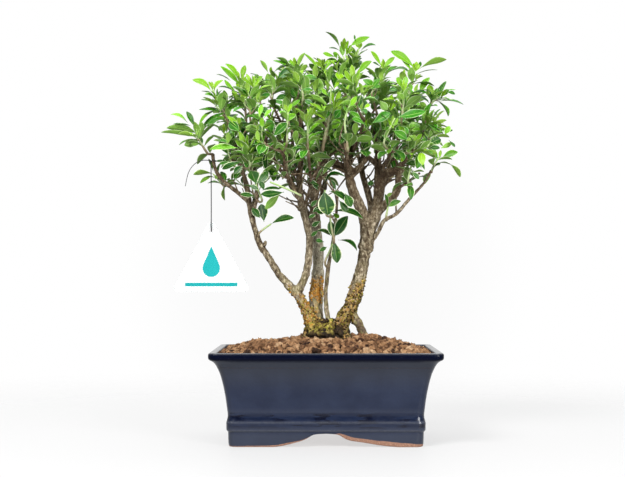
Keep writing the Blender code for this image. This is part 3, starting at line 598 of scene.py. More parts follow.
# Height on the wall's outside, how far the wall has drawn in from the rim's edge there, and how
# thin the glaze lies on that edge.
POT_OUTSIDE = [
    (0.0, 18.1, 0.0), (0.5, 17.4, 0.0), (3.0, 16.9, 0.0), (8.0, 16.7, 0.0), (12.4, 16.6, 0.1),
    (13.2, 16.5, 0.35), (13.7, 15.9, 0.5), (14.6, 15.3, 0.9), (15.8, 15.1, 0.3),
    (19.0, 15.1, 0.0), (20.6, 15.0, 0.2), (21.6, 15.1, 0.9), (22.6, 15.5, 0.4),
    (23.8, 15.7, 0.0), (25.6, 16.2, 0.0), (27.5, 16.3, 0.0), (29.5, 16.2, 0.0),
    (31.0, 16.0, 0.2), (35.0, 15.5, 0.0), (40.0, 14.9, 0.0), (45.0, 14.2, 0.0),
    (50.0, 13.3, 0.0), (54.0, 12.5, 0.0), (58.0, 11.6, 0.0), (62.0, 10.6, 0.0),
    (65.0, 9.7, 0.0), (68.0, 8.5, 0.0), (71.0, 7.2, 0.0), (73.5, 5.7, 0.0),
    (75.2, 4.3, 0.1), (76.3, 2.8, 0.2), (77.1, 1.3, 0.1), (78.0, 0.4, 0.0), (79.0, 0.05, 0.0),
    (80.6, 0.0, 0.0), (82.0, 0.05, 0.1), (82.7, 0.35, 0.5), (83.3, 0.8, 0.9), (83.6, 1.5, 0.6),
]
POT_TOP = [(83.6, 3.0, 0.3), (83.5, 5.4, 0.3), (83.1, 6.2, 0.8), (82.2, 6.8, 0.6),
           (80.0, 7.1, 0.1), (78.0, 8.2, 0.0), (74.0, 11.6, 0.0), (68.0, 15.6, 0.0),
           (60.0, 18.8, 0.0), (48.0, 22.0, 0.0), (34.0, 24.4, 0.0), (23.0, 24.6, 0.0),
           (18.6, 26.0, 0.0), (18.0, 28.0, 0.0), (18.0, 70.0, 0.0)]
POT_UNDERSIDE = [(12.0, 70.0, 0.0), (12.0, 29.0, 0.0), (11.2, 28.4, 0.0)]
FOOT_INSIDE = [(4.0, 27.2, 0.0), (0.7, 27.2, 0.0), (0.0, 26.4, 0.0), (0.0, 22.0, 0.0)]
# Half of the cloud-shaped gap between two feet: distance from its middle, and height.
GAP_REACH = np.array((0.0, 7.0, 10.5, 13.0, 15.0, 17.5, 22.0, 30.0, 38.0, 44.0, 46.0))
GAP_HEIGHT = np.array((11.7, 11.4, 10.9, 9.9, 8.5, 7.0, 5.2, 3.0, 1.1, 0.2, 0.0))
# The same for the right end of the gap in front, which runs out more gently.
RIGHT_REACH = np.array((0.0, 7.0, 10.5, 13.0, 15.0, 17.5, 22.0, 30.0, 38.0, 46.0, 54.0, 64.0))
RIGHT_HEIGHT = np.array((11.7, 11.4, 10.9, 9.9, 8.4, 7.0, 5.5, 4.4, 3.2, 1.8, 0.8, 0.0))
SIDE_GAP_SCALE = 0.62
# How far in from the front or the back a point still counts as on that side.
SIDE_DEEP = 30.0
# Where the glaze ends above the table along the front: X and height of the clay line.
CLAY_X = np.array((-90.0, -60.0, -43.0, -30.0, -20.0, -15.0, -10.0, 8.0, 12.0, 16.0, 24.0, 36.0,
                   46.0, 65.0, 82.0, 90.0))
CLAY_Z = np.array((0.9, 1.0, 1.8, 4.6, 6.6, 8.8, 10.9, 11.4, 12.0, 11.0, 8.4, 6.9, 5.6, 4.0, 2.8,
                   2.2))
# Elsewhere it follows the gap: this high on a foot, and so many times the gap's height over it.
CLAY_ON_FOOT = 1.6
CLAY_OVER_GAP = 1.02
ALL_CLAY = 40.0
POT_SMOOTH_UNDER = 42
CORNER_STEPS = 8
SIDE_STEP = 2.4
DRAIN_RADIUS = 7.0
DRAIN_OFFSET = 45.0
DRAIN_SIDES = 40
DRILL_HEIGHT = 15.0
DRILL_LENGTH = 20.0


def rim_outline(straight_step=SIDE_STEP):
    """A rounded rectangle as shares of its corner centres' distance and of its corner radius."""
    signs = [(1, 1), (-1, 1), (-1, -1), (1, -1)]
    lengths = [RIM_HALF_LENGTH, RIM_HALF_DEPTH, RIM_HALF_LENGTH, RIM_HALF_DEPTH]
    parts = []
    for quarter, (side_x, side_y) in enumerate(signs):
        turn = (quarter + np.arange(CORNER_STEPS + 1) / CORNER_STEPS) * math.pi / 2
        ones = np.ones(len(turn))
        parts.append(np.stack([side_x * ones, side_y * ones, np.cos(turn), np.sin(turn)], -1))
        next_x, next_y = signs[(quarter + 1) % 4]
        steps = int(2 * lengths[quarter] / straight_step)
        share = (np.arange(1, steps) / steps)[:, None]
        start = np.array((side_x, side_y, np.cos(turn[-1]), np.sin(turn[-1])))
        end = np.array((next_x, next_y, start[2], start[3]))
        parts.append(start + (end - start) * share)
    return np.concatenate(parts)


def outline_points(outline, inset, height):
    """The outline drawn in from the rim's edge: rows of insets and heights give rows of rings."""
    inset = np.asarray(inset, float)[:, None]
    x = outline[:, 0] * (RIM_HALF_LENGTH - inset - CORNER_RADIUS) + CORNER_RADIUS * outline[:, 2]
    y = outline[:, 1] * (RIM_HALF_DEPTH - inset - CORNER_RADIUS) + CORNER_RADIUS * outline[:, 3]
    return np.stack([x, y, np.broadcast_to(np.asarray(height, float), x.shape)], -1)


def gap_under_wall(points):
    """How high the cloud-shaped gaps stand under points of the foot ring."""
    x, y = np.abs(points[..., 0]), np.abs(points[..., 1])
    on_front = y > RIM_HALF_DEPTH - SIDE_DEEP
    front = np.interp(x, GAP_REACH, GAP_HEIGHT)
    right = (points[..., 0] > 0) & (points[..., 1] < 0)
    front = np.where(right, np.interp(x, RIGHT_REACH, RIGHT_HEIGHT), front)
    side = np.interp(y / SIDE_GAP_SCALE, GAP_REACH, GAP_HEIGHT)
    return np.where(on_front, front, side)


def make_pot(glaze):
    """The pot's whole wall: the rounded rectangle carried up the inside of the feet, up the
    outside, over the rim and down inside, with the foot band squeezed up over the gaps and the
    drain holes cut."""
    profile = np.array(POT_UNDERSIDE + FOOT_INSIDE + POT_OUTSIDE + POT_TOP)
    height, inset, worn = profile[:, 0][:, None], profile[:, 1], profile[:, 2][:, None]
    rings = outline_points(rim_outline(), inset, height)
    gap = gap_under_wall(rings)
    row = np.arange(len(profile))[:, None]
    foot = (height < FOOT_TOP) & (row >= len(POT_UNDERSIDE))
    rings[..., 2] = np.where(foot, gap + height * (FOOT_TOP - gap) / FOOT_TOP, height)
    x, y = rings[..., 0], rings[..., 1]
    line = np.where(y < -RIM_HALF_DEPTH + SIDE_DEEP, np.interp(x, CLAY_X, CLAY_Z),
                    CLAY_ON_FOOT + gap * CLAY_OVER_GAP)
    line = np.where(row < len(POT_UNDERSIDE + FOOT_INSIDE), ALL_CLAY, line)
    wall = ring_shell(rings, clay_line=line.ravel(), edge=(worn + 0 * x).ravel())
    pot = make_piece("glazed_pot", [wall], [glaze], ["pot"], POT_SMOOTH_UNDER)
    for side in (-1, 1):
        bpy.ops.mesh.primitive_cylinder_add(vertices=DRAIN_SIDES, radius=DRAIN_RADIUS * MM,
                                            depth=DRILL_LENGTH * MM)
        drill = bpy.context.object
        drill.location = (np.array((side * DRAIN_OFFSET, 0, DRILL_HEIGHT)) + POT_PLACE) * MM
        cut = pot.modifiers.new("drain", "BOOLEAN")
        cut.object = drill
        cut.solver = "EXACT"
        apply_modifiers(pot)
        bpy.data.objects.remove(drill)
    return pot


def apply_modifiers(piece):
    """Make a piece's modifiers part of its mesh."""
    bpy.context.view_layer.update()
    evaluated = piece.evaluated_get(bpy.context.evaluated_depsgraph_get())
    mesh = bpy.data.meshes.new_from_object(evaluated)
    piece.modifiers.clear()
    piece.data = mesh


# Grit, moss and what lies under them.

SOIL_TOP = 70.0
GRIT_TOP = 93.5
DOME_REACH = np.array((0.0, 0.1, 0.28, 0.5, 0.7, 0.88, 1.0))
DOME_SHARE = np.array((1.0, 1.0, 0.98, 0.91, 0.79, 0.62, 0.44))
WALL_INSIDE = 7.3
INNER_HALF_LENGTH = RIM_HALF_LENGTH - WALL_INSIDE
INNER_HALF_DEPTH = RIM_HALF_DEPTH - WALL_INSIDE
GRAIN_SPACING = 5.3
GRAIN_ROW_PITCH = 0.87
GRAIN_RADIUS = (2.3, 4.3)
GRAIN_JITTER = 1.5
GRAIN_LAYERS = 2
LAYER_SHIFT = (3.1, 2.3)
LAYER_DROP = 2.4
GRIT_SMOOTH_UNDER = 44
BED_DROP = 4.2
# The bed's colour is painted shade: near black, seen between the grains.
BED_PAINTED_SHADE = 0.02
UNEVEN_HEIGHT = 1.2
UNEVEN_SIZE = 55.0
HEAP_PLACE = (38.0, -8.0)
HEAP_REACH = (24.0, 20.0)
HEAP_HEIGHT = 3.2
MOSS_CENTRE = np.array((0.5, -3.0, 96.0))
MOSS_REACH = np.array((19.5, 17.0, 14.0))
MOSS_OVER_GRIT = 3.0
MOSS_BUMP = 0.2
MOSS_ROWS = 14
MOSS_COLUMNS = 40
MOSS_TUFTS = 1100
MESH_HALF = 12.0
MESH_PITCH = 2.4
MESH_FLOOR = 18.9
MESH_BAR_RADIUS = 0.45
MESH_BAR_SIDES = 6


def grit_height(x, y):
    """The height of the mound of grit: a dome that runs out to the wall, uneven, with a heap."""
    reach = (np.abs(x / INNER_HALF_LENGTH) ** 4 + np.abs(y / INNER_HALF_DEPTH) ** 4) ** 0.25
    share = np.interp(reach, DOME_REACH, DOME_SHARE)
    uneven = UNEVEN_HEIGHT * wave_noise(np.stack([x, y, 0 * x], -1), UNEVEN_SIZE, 5, 2)
    aside = (x - HEAP_PLACE[0]) / HEAP_REACH[0]
    behind = (y - HEAP_PLACE[1]) / HEAP_REACH[1]
    heap = HEAP_HEIGHT * np.exp(-aside ** 2 - behind ** 2)
    dome = SOIL_TOP + GAP + (GRIT_TOP - SOIL_TOP - GAP) * share
    return dome + (uneven + heap) * (1 - reach ** 4)


def block_shell():
    """A cube of 3 by 3 by 3 points without its middle, half rounded, and its 24 faces."""
    steps = np.array((-1.0, 0.0, 1.0))
    cube = np.stack(np.meshgrid(steps, steps, steps, indexing="ij"), -1).reshape(-1, 3)
    skin = np.abs(cube).max(1) == 1
    order = np.cumsum(skin) - 1
    faces = []
    for axis in range(3):
        first, second = (axis + 1) % 3, (axis + 2) % 3
        for side in (-1.0, 1.0):
            for u in (-1.0, 0.0):
                for v in (-1.0, 0.0):
                    corners = []
                    for du, dv in ((0, 0), (1, 0), (1, 1), (0, 1)):
                        corner = np.zeros(3)
                        corner[axis], corner[first], corner[second] = side, u + du, v + dv
                        place = ((corner + 1) @ (9, 3, 1)).round().astype(int)
                        corners.append(int(order[place]))
                    faces.append(corners if side > 0 else corners[::-1])
    points = cube[skin]
    return points * 0.35 + unit(points) * 0.65, np.array(faces)


def lumps(places, radii, tints, seed, roughness=0.25):
    """Lumpy grains at many places: one rounded block, drawn out differently on each axis, turned
    at random and pushed in and out by noise, all in one array."""
    draw = np.random.default_rng(seed)
    points, corners = block_shell()
    count = len(places)
    turn, _ = np.linalg.qr(draw.normal(size=(count, 3, 3)))
    turn = turn * np.sign(np.linalg.det(turn))[:, None, None]
    stretch = draw.uniform(0.7, 1.15, (count, 1, 3))
    lumpy = 1 + roughness * draw.uniform(-1, 1, (count, len(points)))
    grains = points[None] * stretch * lumpy[..., None] * np.asarray(radii)[:, None, None]
    grains = np.einsum("nij,npj->npi", turn, grains) + np.asarray(places)[:, None]
    faces = corners[None] + (np.arange(count) * len(points))[:, None, None]
    return Surface(grains, faces, tint=np.repeat(tints, len(points)))


def grit_layer(layer, draw):
    """One layer of loose grains on a jittered grid, clear of the moss: places, radii, tints."""
    x, y = np.meshgrid(np.arange(-INNER_HALF_LENGTH, INNER_HALF_LENGTH, GRAIN_SPACING),
                       np.arange(-INNER_HALF_DEPTH, INNER_HALF_DEPTH,
                                 GRAIN_SPACING * GRAIN_ROW_PITCH))
    x = x + (np.arange(len(x)) % 2)[:, None] * GRAIN_SPACING / 2 + layer * LAYER_SHIFT[0]
    x, y = x.ravel(), (y + layer * LAYER_SHIFT[1]).ravel()
    x = x + draw.normal(0, GRAIN_JITTER, x.shape)
    y = y + draw.normal(0, GRAIN_JITTER, x.shape)
    size = draw.uniform(*GRAIN_RADIUS, x.shape) * draw.uniform(0.75, 1.0, x.shape)
    room_x, room_y = INNER_HALF_LENGTH - size * 0.9, INNER_HALF_DEPTH - size * 0.9
    mossy_x, mossy_y = MOSS_REACH[:2] - MOSS_OVER_GRIT
    covered = (((x - MOSS_CENTRE[0]) / mossy_x) ** 2 + ((y - MOSS_CENTRE[1]) / mossy_y) ** 2) < 1
    keep = (np.abs(x) < room_x) & (np.abs(y) < room_y) & ~covered
    sunk = size * 0.75 + layer * LAYER_DROP + draw.uniform(-1.0, 1.4, x.shape)
    places = np.stack([x, y, grit_height(x, y) - sunk + size * 0.25], -1)[keep]
    # Painted shade: the lower layer of grains is drawn darker than the top one.
    tints = np.clip(draw.normal(0.5, 0.25, keep.sum()) - 0.25 * layer, 0.03, 0.98)
    return places, size[keep], tints


def grit_bed():
    """The bed under the grains: the mound itself, let down, on top of the soil, painted near black
    as the shade between the grains.
    """
    outline = rim_outline(6.0)
    share = np.linspace(0.04, 1, 16)[:, None, None]
    top = outline_points(outline, [WALL_INSIDE + 0.1], 0.0) * share
    top[..., 2] = grit_height(top[..., 0], top[..., 1]) - BED_DROP
    bottom = top[::-1].copy()
    bottom[..., 2] = SOIL_TOP + GAP
    foot = outline_points(outline, [WALL_INSIDE + 1.0], SOIL_TOP + 4.0)
    rings = np.concatenate([top, foot, bottom])
    return ring_shell(rings, downward=True, tint=np.full(rings.size // 3, BED_PAINTED_SHADE))


def make_grit(grit):
    """The mound: a bed painted near black and over it two layers of loose grains, the lower layer
    painted darker; both darkenings are painted shade between the grains.
    """
    draw = np.random.default_rng(11)
    layers = [grit_layer(layer, draw) for layer in range(GRAIN_LAYERS)]
    places, radii, tints = (np.concatenate(part) for part in zip(*layers))
    grains = lumps(places, radii, tints, 23)
    return make_piece("grit_grains", [[grains, grit_bed()]], [grit], ["grit"],
                      GRIT_SMOOTH_UNDER)


def moss_skin(out, depth):
    """Points of the cushion in directions from its middle, so deep in it, and its bulge there."""
    bulge = wave_noise(out * 20, 9.0, 3, 3)
    return MOSS_CENTRE + out * (MOSS_REACH - depth) * (1 + MOSS_BUMP * bulge)[..., None], bulge


def make_moss(moss):
    """Moss: a bumpy half dome over the root crown, set with small pointed tufts."""
    draw = np.random.default_rng(31)
    lift = np.linspace(0.02, math.pi * 0.62, MOSS_ROWS)[:, None]
    turn = np.linspace(0, 2 * math.pi, MOSS_COLUMNS, endpoint=False)[None]
    skin, bulge = moss_skin(globe(lift, turn), 2.2)
    mound = ring_shell(skin, downward=True, tint=np.clip(0.12 + 0.2 * bulge, 0, 1).ravel())
    up = np.arccos(draw.uniform(0.1, 1.0, MOSS_TUFTS))
    spin = draw.uniform(0, 2 * math.pi, MOSS_TUFTS)
    places, _ = moss_skin(globe(up, spin), 2.4)
    sunny = 0.5 - 0.014 * (places[:, 0] + 6) - 0.03 * (104 - places[:, 2]).clip(0)
    tints = np.clip(draw.normal(sunny, 0.22, MOSS_TUFTS), 0, 0.8)
    tufts = lumps(places, draw.uniform(0.7, 1.6, MOSS_TUFTS) ** 2, tints, 37, roughness=0.5)
    return make_piece("moss_cushion", [[mound, tufts]], [moss], ["moss"])


def make_drainage_mesh(side, name, plastic):
    """A lattice over a drain hole: thin bars both ways."""
    middle, half, low = side * DRAIN_OFFSET, MESH_HALF, MESH_FLOOR
    bars = []
    for offset in np.arange(-half, half + 0.1, MESH_PITCH):
        for ends in (((middle - half, offset, low), (middle + half, offset, low)),
                     ((middle + offset, -half, low + 0.1), (middle + offset, half, low + 0.1))):
            bars.append(rod(np.array(ends), [MESH_BAR_RADIUS] * 2, MESH_BAR_SIDES))
    return make_piece(f"{name}_lattice", [bars], [plastic], [name])


# The woody parts: the same limbs as the frame's, with bark relief. Each limb's radius at its
# start and at its end, and the points that it runs through.

LIMBS = [
    (5.2, 3.8, [(-9, -1, 94), (-14, -2, 107), (-19, -3, 122), (-28, -5, 137)]),
    (3.3, 2.4, [(-26, -5, 134), (-42, -7, 151), (-52, -9, 167), (-60, -10, 179), (-66, -11, 197),
                (-69, -12, 210), (-71, -12, 221)]),
    (2.2, 1.5, [(-71, -12, 219), (-80, -13, 227), (-95, -14, 239), (-102, -14, 250),
                (-104, -15, 263)]),
    (2.1, 1.3, [(-70, -12, 218), (-73, -8, 236), (-79, -4, 253), (-83, -2, 269), (-87, -2, 282)]),
    (1.7, 1.2, [(-70, -12, 214), (-73, -19, 231), (-75, -26, 242), (-76, -31, 252)]),
    (1.8, 1.2, [(-69, -12, 207), (-65, 4, 230), (-66, 20, 248), (-68, 34, 264)]),
    (3.3, 3.0, [(-27, -5, 135), (-21, -5, 146), (-17, -4, 158), (-15, -3, 184), (-18, -4, 200),
                (-22, -5, 214)]),
    (3.1, 1.6, [(-22, -5, 212), (-24, -6, 231), (-24, -5, 247), (-21, -2, 269), (-22, 0, 289),
                (-28, -3, 311)]),
    (2.0, 1.2, [(-24, -6, 228), (-33, -10, 239), (-43, -14, 250), (-50, -16, 264),
                (-57, -16, 281)]),
    (1.8, 1.2, [(-22, -6, 217), (-30, -20, 231), (-36, -34, 244), (-38, -45, 262)]),
    (1.8, 1.2, [(-24, -6, 239), (-31, -2, 254), (-36, 4, 269), (-39, 8, 288), (-46, 6, 303)]),
    (1.6, 1.1, [(-78, -4, 250), (-76, -2, 275), (-74, 0, 294)]),
    (1.7, 1.1, [(-69, -12, 205), (-64, -22, 216), (-62, -28, 225)]),
    (1.6, 1.1, [(-50, -16, 263), (-60, -22, 277), (-66, -25, 288)]),
    (1.6, 1.1, [(-21, -3, 262), (-22, -16, 276), (-24, -26, 290)]),
    (1.7, 1.1, [(-21, -6, 212), (-14, -12, 232), (-8, -16, 246), (-4, -18, 262), (1, -20, 279)]),
    (6.2, 4.8, [(-5, 4, 94), (-8, 6, 110), (-9, 8, 128), (-8, 9, 146), (-7, 10, 165),
                (-8, 12, 184), (-10, 14, 202)]),
    (4.3, 1.5, [(-10, 14, 200), (-11, 15, 220), (-8, 14, 236), (-4, 12, 253), (0, 10, 272),
                (2, 8, 293), (8, 2, 314)]),
    (1.6, 1.1, [(1, 9, 278), (-2, 13, 292), (-3, 14, 307)]),
    (2.3, 1.2, [(-10, 14, 198), (-20, 26, 216), (-32, 38, 238), (-42, 46, 261),
                (-52, 44, 284), (-60, 41, 300)]),
    (1.8, 1.1, [(-32, 38, 237), (-31, 41, 268), (-34, 42, 308)]),
    (2.4, 1.2, [(-10, 15, 206), (-4, 30, 226), (0, 44, 246), (1, 53, 262), (10, 60, 277)]),
    (1.8, 1.1, [(-3, 32, 228), (-8, 41, 256), (-8, 46, 290), (-7, 48, 314)]),
    (1.6, 1.1, [(0, 44, 245), (-14, 54, 264), (-25, 59, 277)]),
    (1.7, 1.2, [(-66, 20, 247), (-77, 26, 266), (-86, 30, 279)]),
    (1.9, 1.1, [(-11, 14, 214), (-13, -6, 229), (-14, -30, 241), (-15, -50, 256)]),
    (2.3, 1.2, [(4, -3, 98), (0, -4, 128), (1, -6, 146), (3, -8, 163), (6, -10, 178),
                (8, -12, 194), (10, -12, 211), (11, -10, 230)]),
    (6.3, 5.2, [(9, -3, 95), (17, -4, 113), (23, -4, 122), (27, -3, 134), (31, -2, 148),
                (35, 0, 165), (37, 0, 179)]),
    (5.6, 6.2, [(37, 0, 176), (40, 0, 193), (42, 1, 202)]),
    (5.2, 4.0, [(39, 0, 189), (36, -2, 204), (31, -4, 217), (25, -6, 230), (22, -7, 242),
                (21, -8, 252)]),
    (2.2, 1.2, [(22, -8, 246), (11, -6, 251), (0, -2, 257), (-10, 4, 268), (-17, 10, 284)]),
    (2.2, 1.3, [(21, -8, 249), (24, -6, 265), (28, -2, 284), (28, 3, 304), (24, 8, 320)]),
    (1.7, 1.1, [(24, -6, 264), (31, -20, 280), (35, -32, 293)]),
    (1.8, 1.1, [(22, -7, 241), (19, -24, 256), (17, -38, 270)]),
    (5.3, 4.4, [(42, 1, 198), (46, 2, 208), (49, 3, 222), (50, 3, 238), (50, 2, 254)]),
    (2.6, 1.4, [(50, 2, 250), (48, 2, 266), (46, 0, 282), (48, -2, 301)]),
    (2.4, 1.4, [(50, 2, 245), (61, 0, 248), (70, -4, 255), (80, -8, 265), (88, -10, 275)]),
    (1.6, 1.1, [(82, -9, 267), (89, -5, 281), (93, -2, 292)]),
    (2.2, 1.3, [(51, 2, 251), (62, 0, 263), (68, -2, 278), (73, -4, 297)]),
    (1.7, 1.1, [(62, 0, 262), (66, -16, 275), (67, -28, 285)]),
    (1.7, 1.1, [(48, 2, 264), (52, 10, 282), (56, 17, 297)]),
    (1.8, 1.1, [(50, 2, 239), (54, -18, 252), (59, -36, 263)]),
    (2.1, 1.2, [(49, 3, 219), (55, 18, 237), (59, 34, 253), (62, 47, 268)]),
    (1.7, 1.1, [(59, 33, 252), (67, 36, 273), (74, 36, 290)]),
    (1.7, 1.1, [(55, 17, 236), (70, 24, 254), (83, 29, 270)]),
    (3.1, 2.0, [(43, 3, 204), (42, 10, 219), (38, 14, 235), (34, 20, 251), (36, 30, 269),
                (36, 40, 289), (43, 43, 303)]),
    (1.7, 1.1, [(34, 20, 249), (30, 34, 273), (25, 44, 300), (24, 46, 314)]),
    (3.4, 2.8, [(47, 2, 208), (57, -5, 219), (66, -9, 229), (67, -10, 240), (67, -8, 251)]),
    (2.1, 1.1, [(38, -1, 178), (47, -5, 189), (54, -9, 202), (65, -11, 208), (78, -12, 223),
                (90, -13, 236), (97, -13, 248)]),
    (1.5, 1.0, [(66, -9, 231), (75, -12, 237), (86, -20, 245)]),
    (3.3, 4.0, [(22, -4, 122), (27, -4, 112), (32, -3, 103), (38, -2, 90)]),
]
# Roots and old stubs too small for the frame, listed in the same way.
ROOTS = [
    (6.0, 2.2, [(-10, -2, 103), (-17, -4, 94), (-25, -7, 88), (-33, -9, 82)]),
    (6.0, 2.4, [(12, -4, 103), (17, -9, 95), (22, -14, 88), (26, -19, 82)]),
    (5.0, 2.0, [(-3, 4, 104), (-6, 10, 94), (-8, 18, 86)]),
    (5.0, 2.2, [(14, 0, 103), (20, 6, 93), (27, 12, 85)]),
    (4.0, 2.0, [(0, -3, 104), (-2, -10, 94), (-4, -17, 87)]),
    (2.0, 1.3, [(-58, -10, 177), (-56, -13, 180.5), (-55, -15, 182.5)]),
    (1.6, 1.2, [(-9, 8, 128), (-13, 4, 131), (-15, 3, 132)]),
    (1.7, 1.2, [(36, -1, 170), (41, -5, 173), (43, -6, 175)]),
    (3.6, 2.6, [(50, 2, 238), (57, -3, 246), (64, -7, 248), (72, -9, 249)]),
    (2.6, 2.0, [(21, -8, 250), (13, -9, 254), (4, -8, 258)]),
    (2.8, 2.2, [(24, -6, 244), (32, -10, 252), (38, -12, 259)]),
    (2.4, 1.8, [(50, 2, 252), (43, -6, 258), (38, -10, 262)]),
]
THICK_LIMB = 2.35
TRUNK_VOXEL = 0.95
BARK_PUSH = 0.2
ROOT_CROWN_REACH = (21.0, 13.0, -17.0)
ROOT_CROWN_PLACE = (0.0, 0.0, 86.0)
FLARE = 0.28
FLARED_LIMB = 2.6
CRUST_CRUMBS = 3900
CRUMB_RADIUS = (0.3, 0.95)
LICHEN_CENTRE = np.array((-9.0, 3.0, 139.0))
LICHEN_REACH = np.array((8.0, 9.0, 10.0))
# How high the crust of dry moss climbs, from X to height.
CRUST_X = (-20.0, -10.0, 4.0, 10.0, 14.0, 28.0)
CRUST_TOP = (137.0, 124.0, 110.0, 116.0, 138.0, 150.0)


def knobbly_radii(start, end, rows, seed):
    """Radii that taper along a limb and swell here and there, as old growth rings do, and that
    flare out at the foot of a thick limb."""
    share = np.linspace(0, 1, rows)
    taper = start + (end - start) * share
    swell = wave_noise(np.stack([share * 40, share * 0, share * 0], -1), 9.0, seed, 2)
    flare = FLARE * np.exp(-share * rows / 4.0)
    return taper * (1 + 0.07 * swell + flare * (start > FLARED_LIMB))


def limb_rods(numbers, spacing, sides, relief):
    """Knobbly rods along the limbs and roots of these numbers."""
    rods = []
    for number in numbers:
        start, end, points = (LIMBS + ROOTS)[number]
        route = smooth_route(points, spacing)
        radii = knobbly_radii(start, end, len(route), number)
        rods.append(rod(route, radii, sides, relief, number))
    return rods


def off_lichen(points):
    """How far points are from the middle of the orange lichen, in its own reach."""
    return np.linalg.norm((points - LICHEN_CENTRE) / LICHEN_REACH, axis=-1)


def lichen_share(points):
    """How much orange lichen and dry moss grows at points: a patch on the middle trunk, and a
    crust up the feet of the trunks, but hardly any on the side root."""
    away = off_lichen(points) + 0.3 * wave_noise(points, 8.0, 62, 3)
    x, z = points[..., 0], points[..., 2]
    top = np.interp(x, CRUST_X, CRUST_TOP) + 8 * wave_noise(points, 12.0, 61, 2)
    side_root = (x > 26) & (z < 118)
    foot = np.clip((top - z) / 12, 0, 1) * (1 - 0.85 * side_root)
    return np.clip(1.9 - 1.4 * away, 0, 1) + 0.8 * foot


def bark_push(points):
    """How far bark stands out at points: stretched ridges and flakes, stronger on old wood."""
    age = np.clip((235 - points[:, 2]) / 110, 0.25, 1)
    ridges = 1 - 2 * np.abs(wave_noise(points / (2.6, 2.6, 9.0), 2.2, 51, 2))
    flakes = wave_noise(points / (1, 1, 1.6), 5.0, 52, 3)
    swell = wave_noise(points, 17.0, 53, 2)
    return age * (0.34 * ridges + 0.42 * flakes + 0.35 * swell) + BARK_PUSH


def make_trunks(bark):
    """The thick limbs grown together: rods merged by a voxel remesh and smoothed, then pushed in
    and out along their normals by stretched noise, as ridged and flaking bark."""
    thick = [number for number, (start, *_) in enumerate(LIMBS + ROOTS)
             if start >= THICK_LIMB or number >= len(LIMBS)]
    rods = limb_rods(thick, 2.5, 20, 0.06)
    turn = np.linspace(0, 2 * math.pi, 24, endpoint=False)
    lift = np.linspace(0.15, math.pi - 0.15, 12)[:, None]
    rods.append(ring_shell(globe(lift, turn) * ROOT_CROWN_REACH + ROOT_CROWN_PLACE))
    trunks = make_piece("trunks", [rods], [bark], ["trunk_and_branches"])
    grow = trunks.modifiers.new("grow_together", "REMESH")
    grow.mode = "VOXEL"
    grow.voxel_size = TRUNK_VOXEL * MM
    soften = trunks.modifiers.new("soften", "SMOOTH")
    soften.factor = 0.5
    soften.iterations = 3
    apply_modifiers(trunks)
    mesh = trunks.data
    points, normals = np.empty((2, len(mesh.vertices) * 3))
    mesh.vertices.foreach_get("co", points)
    mesh.vertex_normals.foreach_get("vector", normals)
    points = points.reshape(-1, 3) / MM - POT_PLACE
    normals = normals.reshape(-1, 3)
    points = points + normals * bark_push(points)[:, None]
    mesh.vertices.foreach_set("co", ((points + POT_PLACE) * MM).ravel())
    share = lichen_share(points)
    layer = mesh.attributes.new("lichen", "FLOAT", "POINT")
    layer.data.foreach_set("value", np.clip(share, 0, 1).astype(np.float32))
    mesh.shade_smooth()
    return points, normals, share


def make_crust(moss, points, normals, share):
    """Crumbs of dry moss and lichen on the trunks' bark where it is overgrown: rusty round the
    lichen, and here and there up the left trunk."""
    draw = np.random.default_rng(71)
    chance = np.clip(share, 0, 1) ** 2
    chosen = draw.choice(len(points), CRUST_CRUMBS, replace=False, p=chance / chance.sum())
    size = draw.uniform(*CRUMB_RADIUS, CRUST_CRUMBS)
    places = points[chosen] + normals[chosen] * size[:, None] * 0.3
    tints = np.clip(draw.normal(0.37, 0.18, CRUST_CRUMBS), 0.05, 0.95)
    left = (places[:, 0] < 6) & (places[:, 2] > 106) & (draw.random(CRUST_CRUMBS) < 0.55)
    tints = np.where(left, draw.uniform(0.8, 1.0, CRUST_CRUMBS), tints)
    rusty = off_lichen(places) < 1.3
    tints = np.where(rusty, draw.uniform(0.9, 1.1, CRUST_CRUMBS), tints)
    return make_piece("crust", [lumps(places, size, tints, 72, roughness=0.5)], [moss])


def make_fine_branches(bark):
    """The thin limbs: knobbly rods that start inside the limbs that bear them."""
    thin = [number for number, (start, *_) in enumerate(LIMBS) if start < THICK_LIMB]
    return make_piece("fine_branches", [limb_rods(thin, 3.0, 9, 0.12)], [bark])


# The leafy shoots: the frame's own shoots, with curved leaves and more of them.

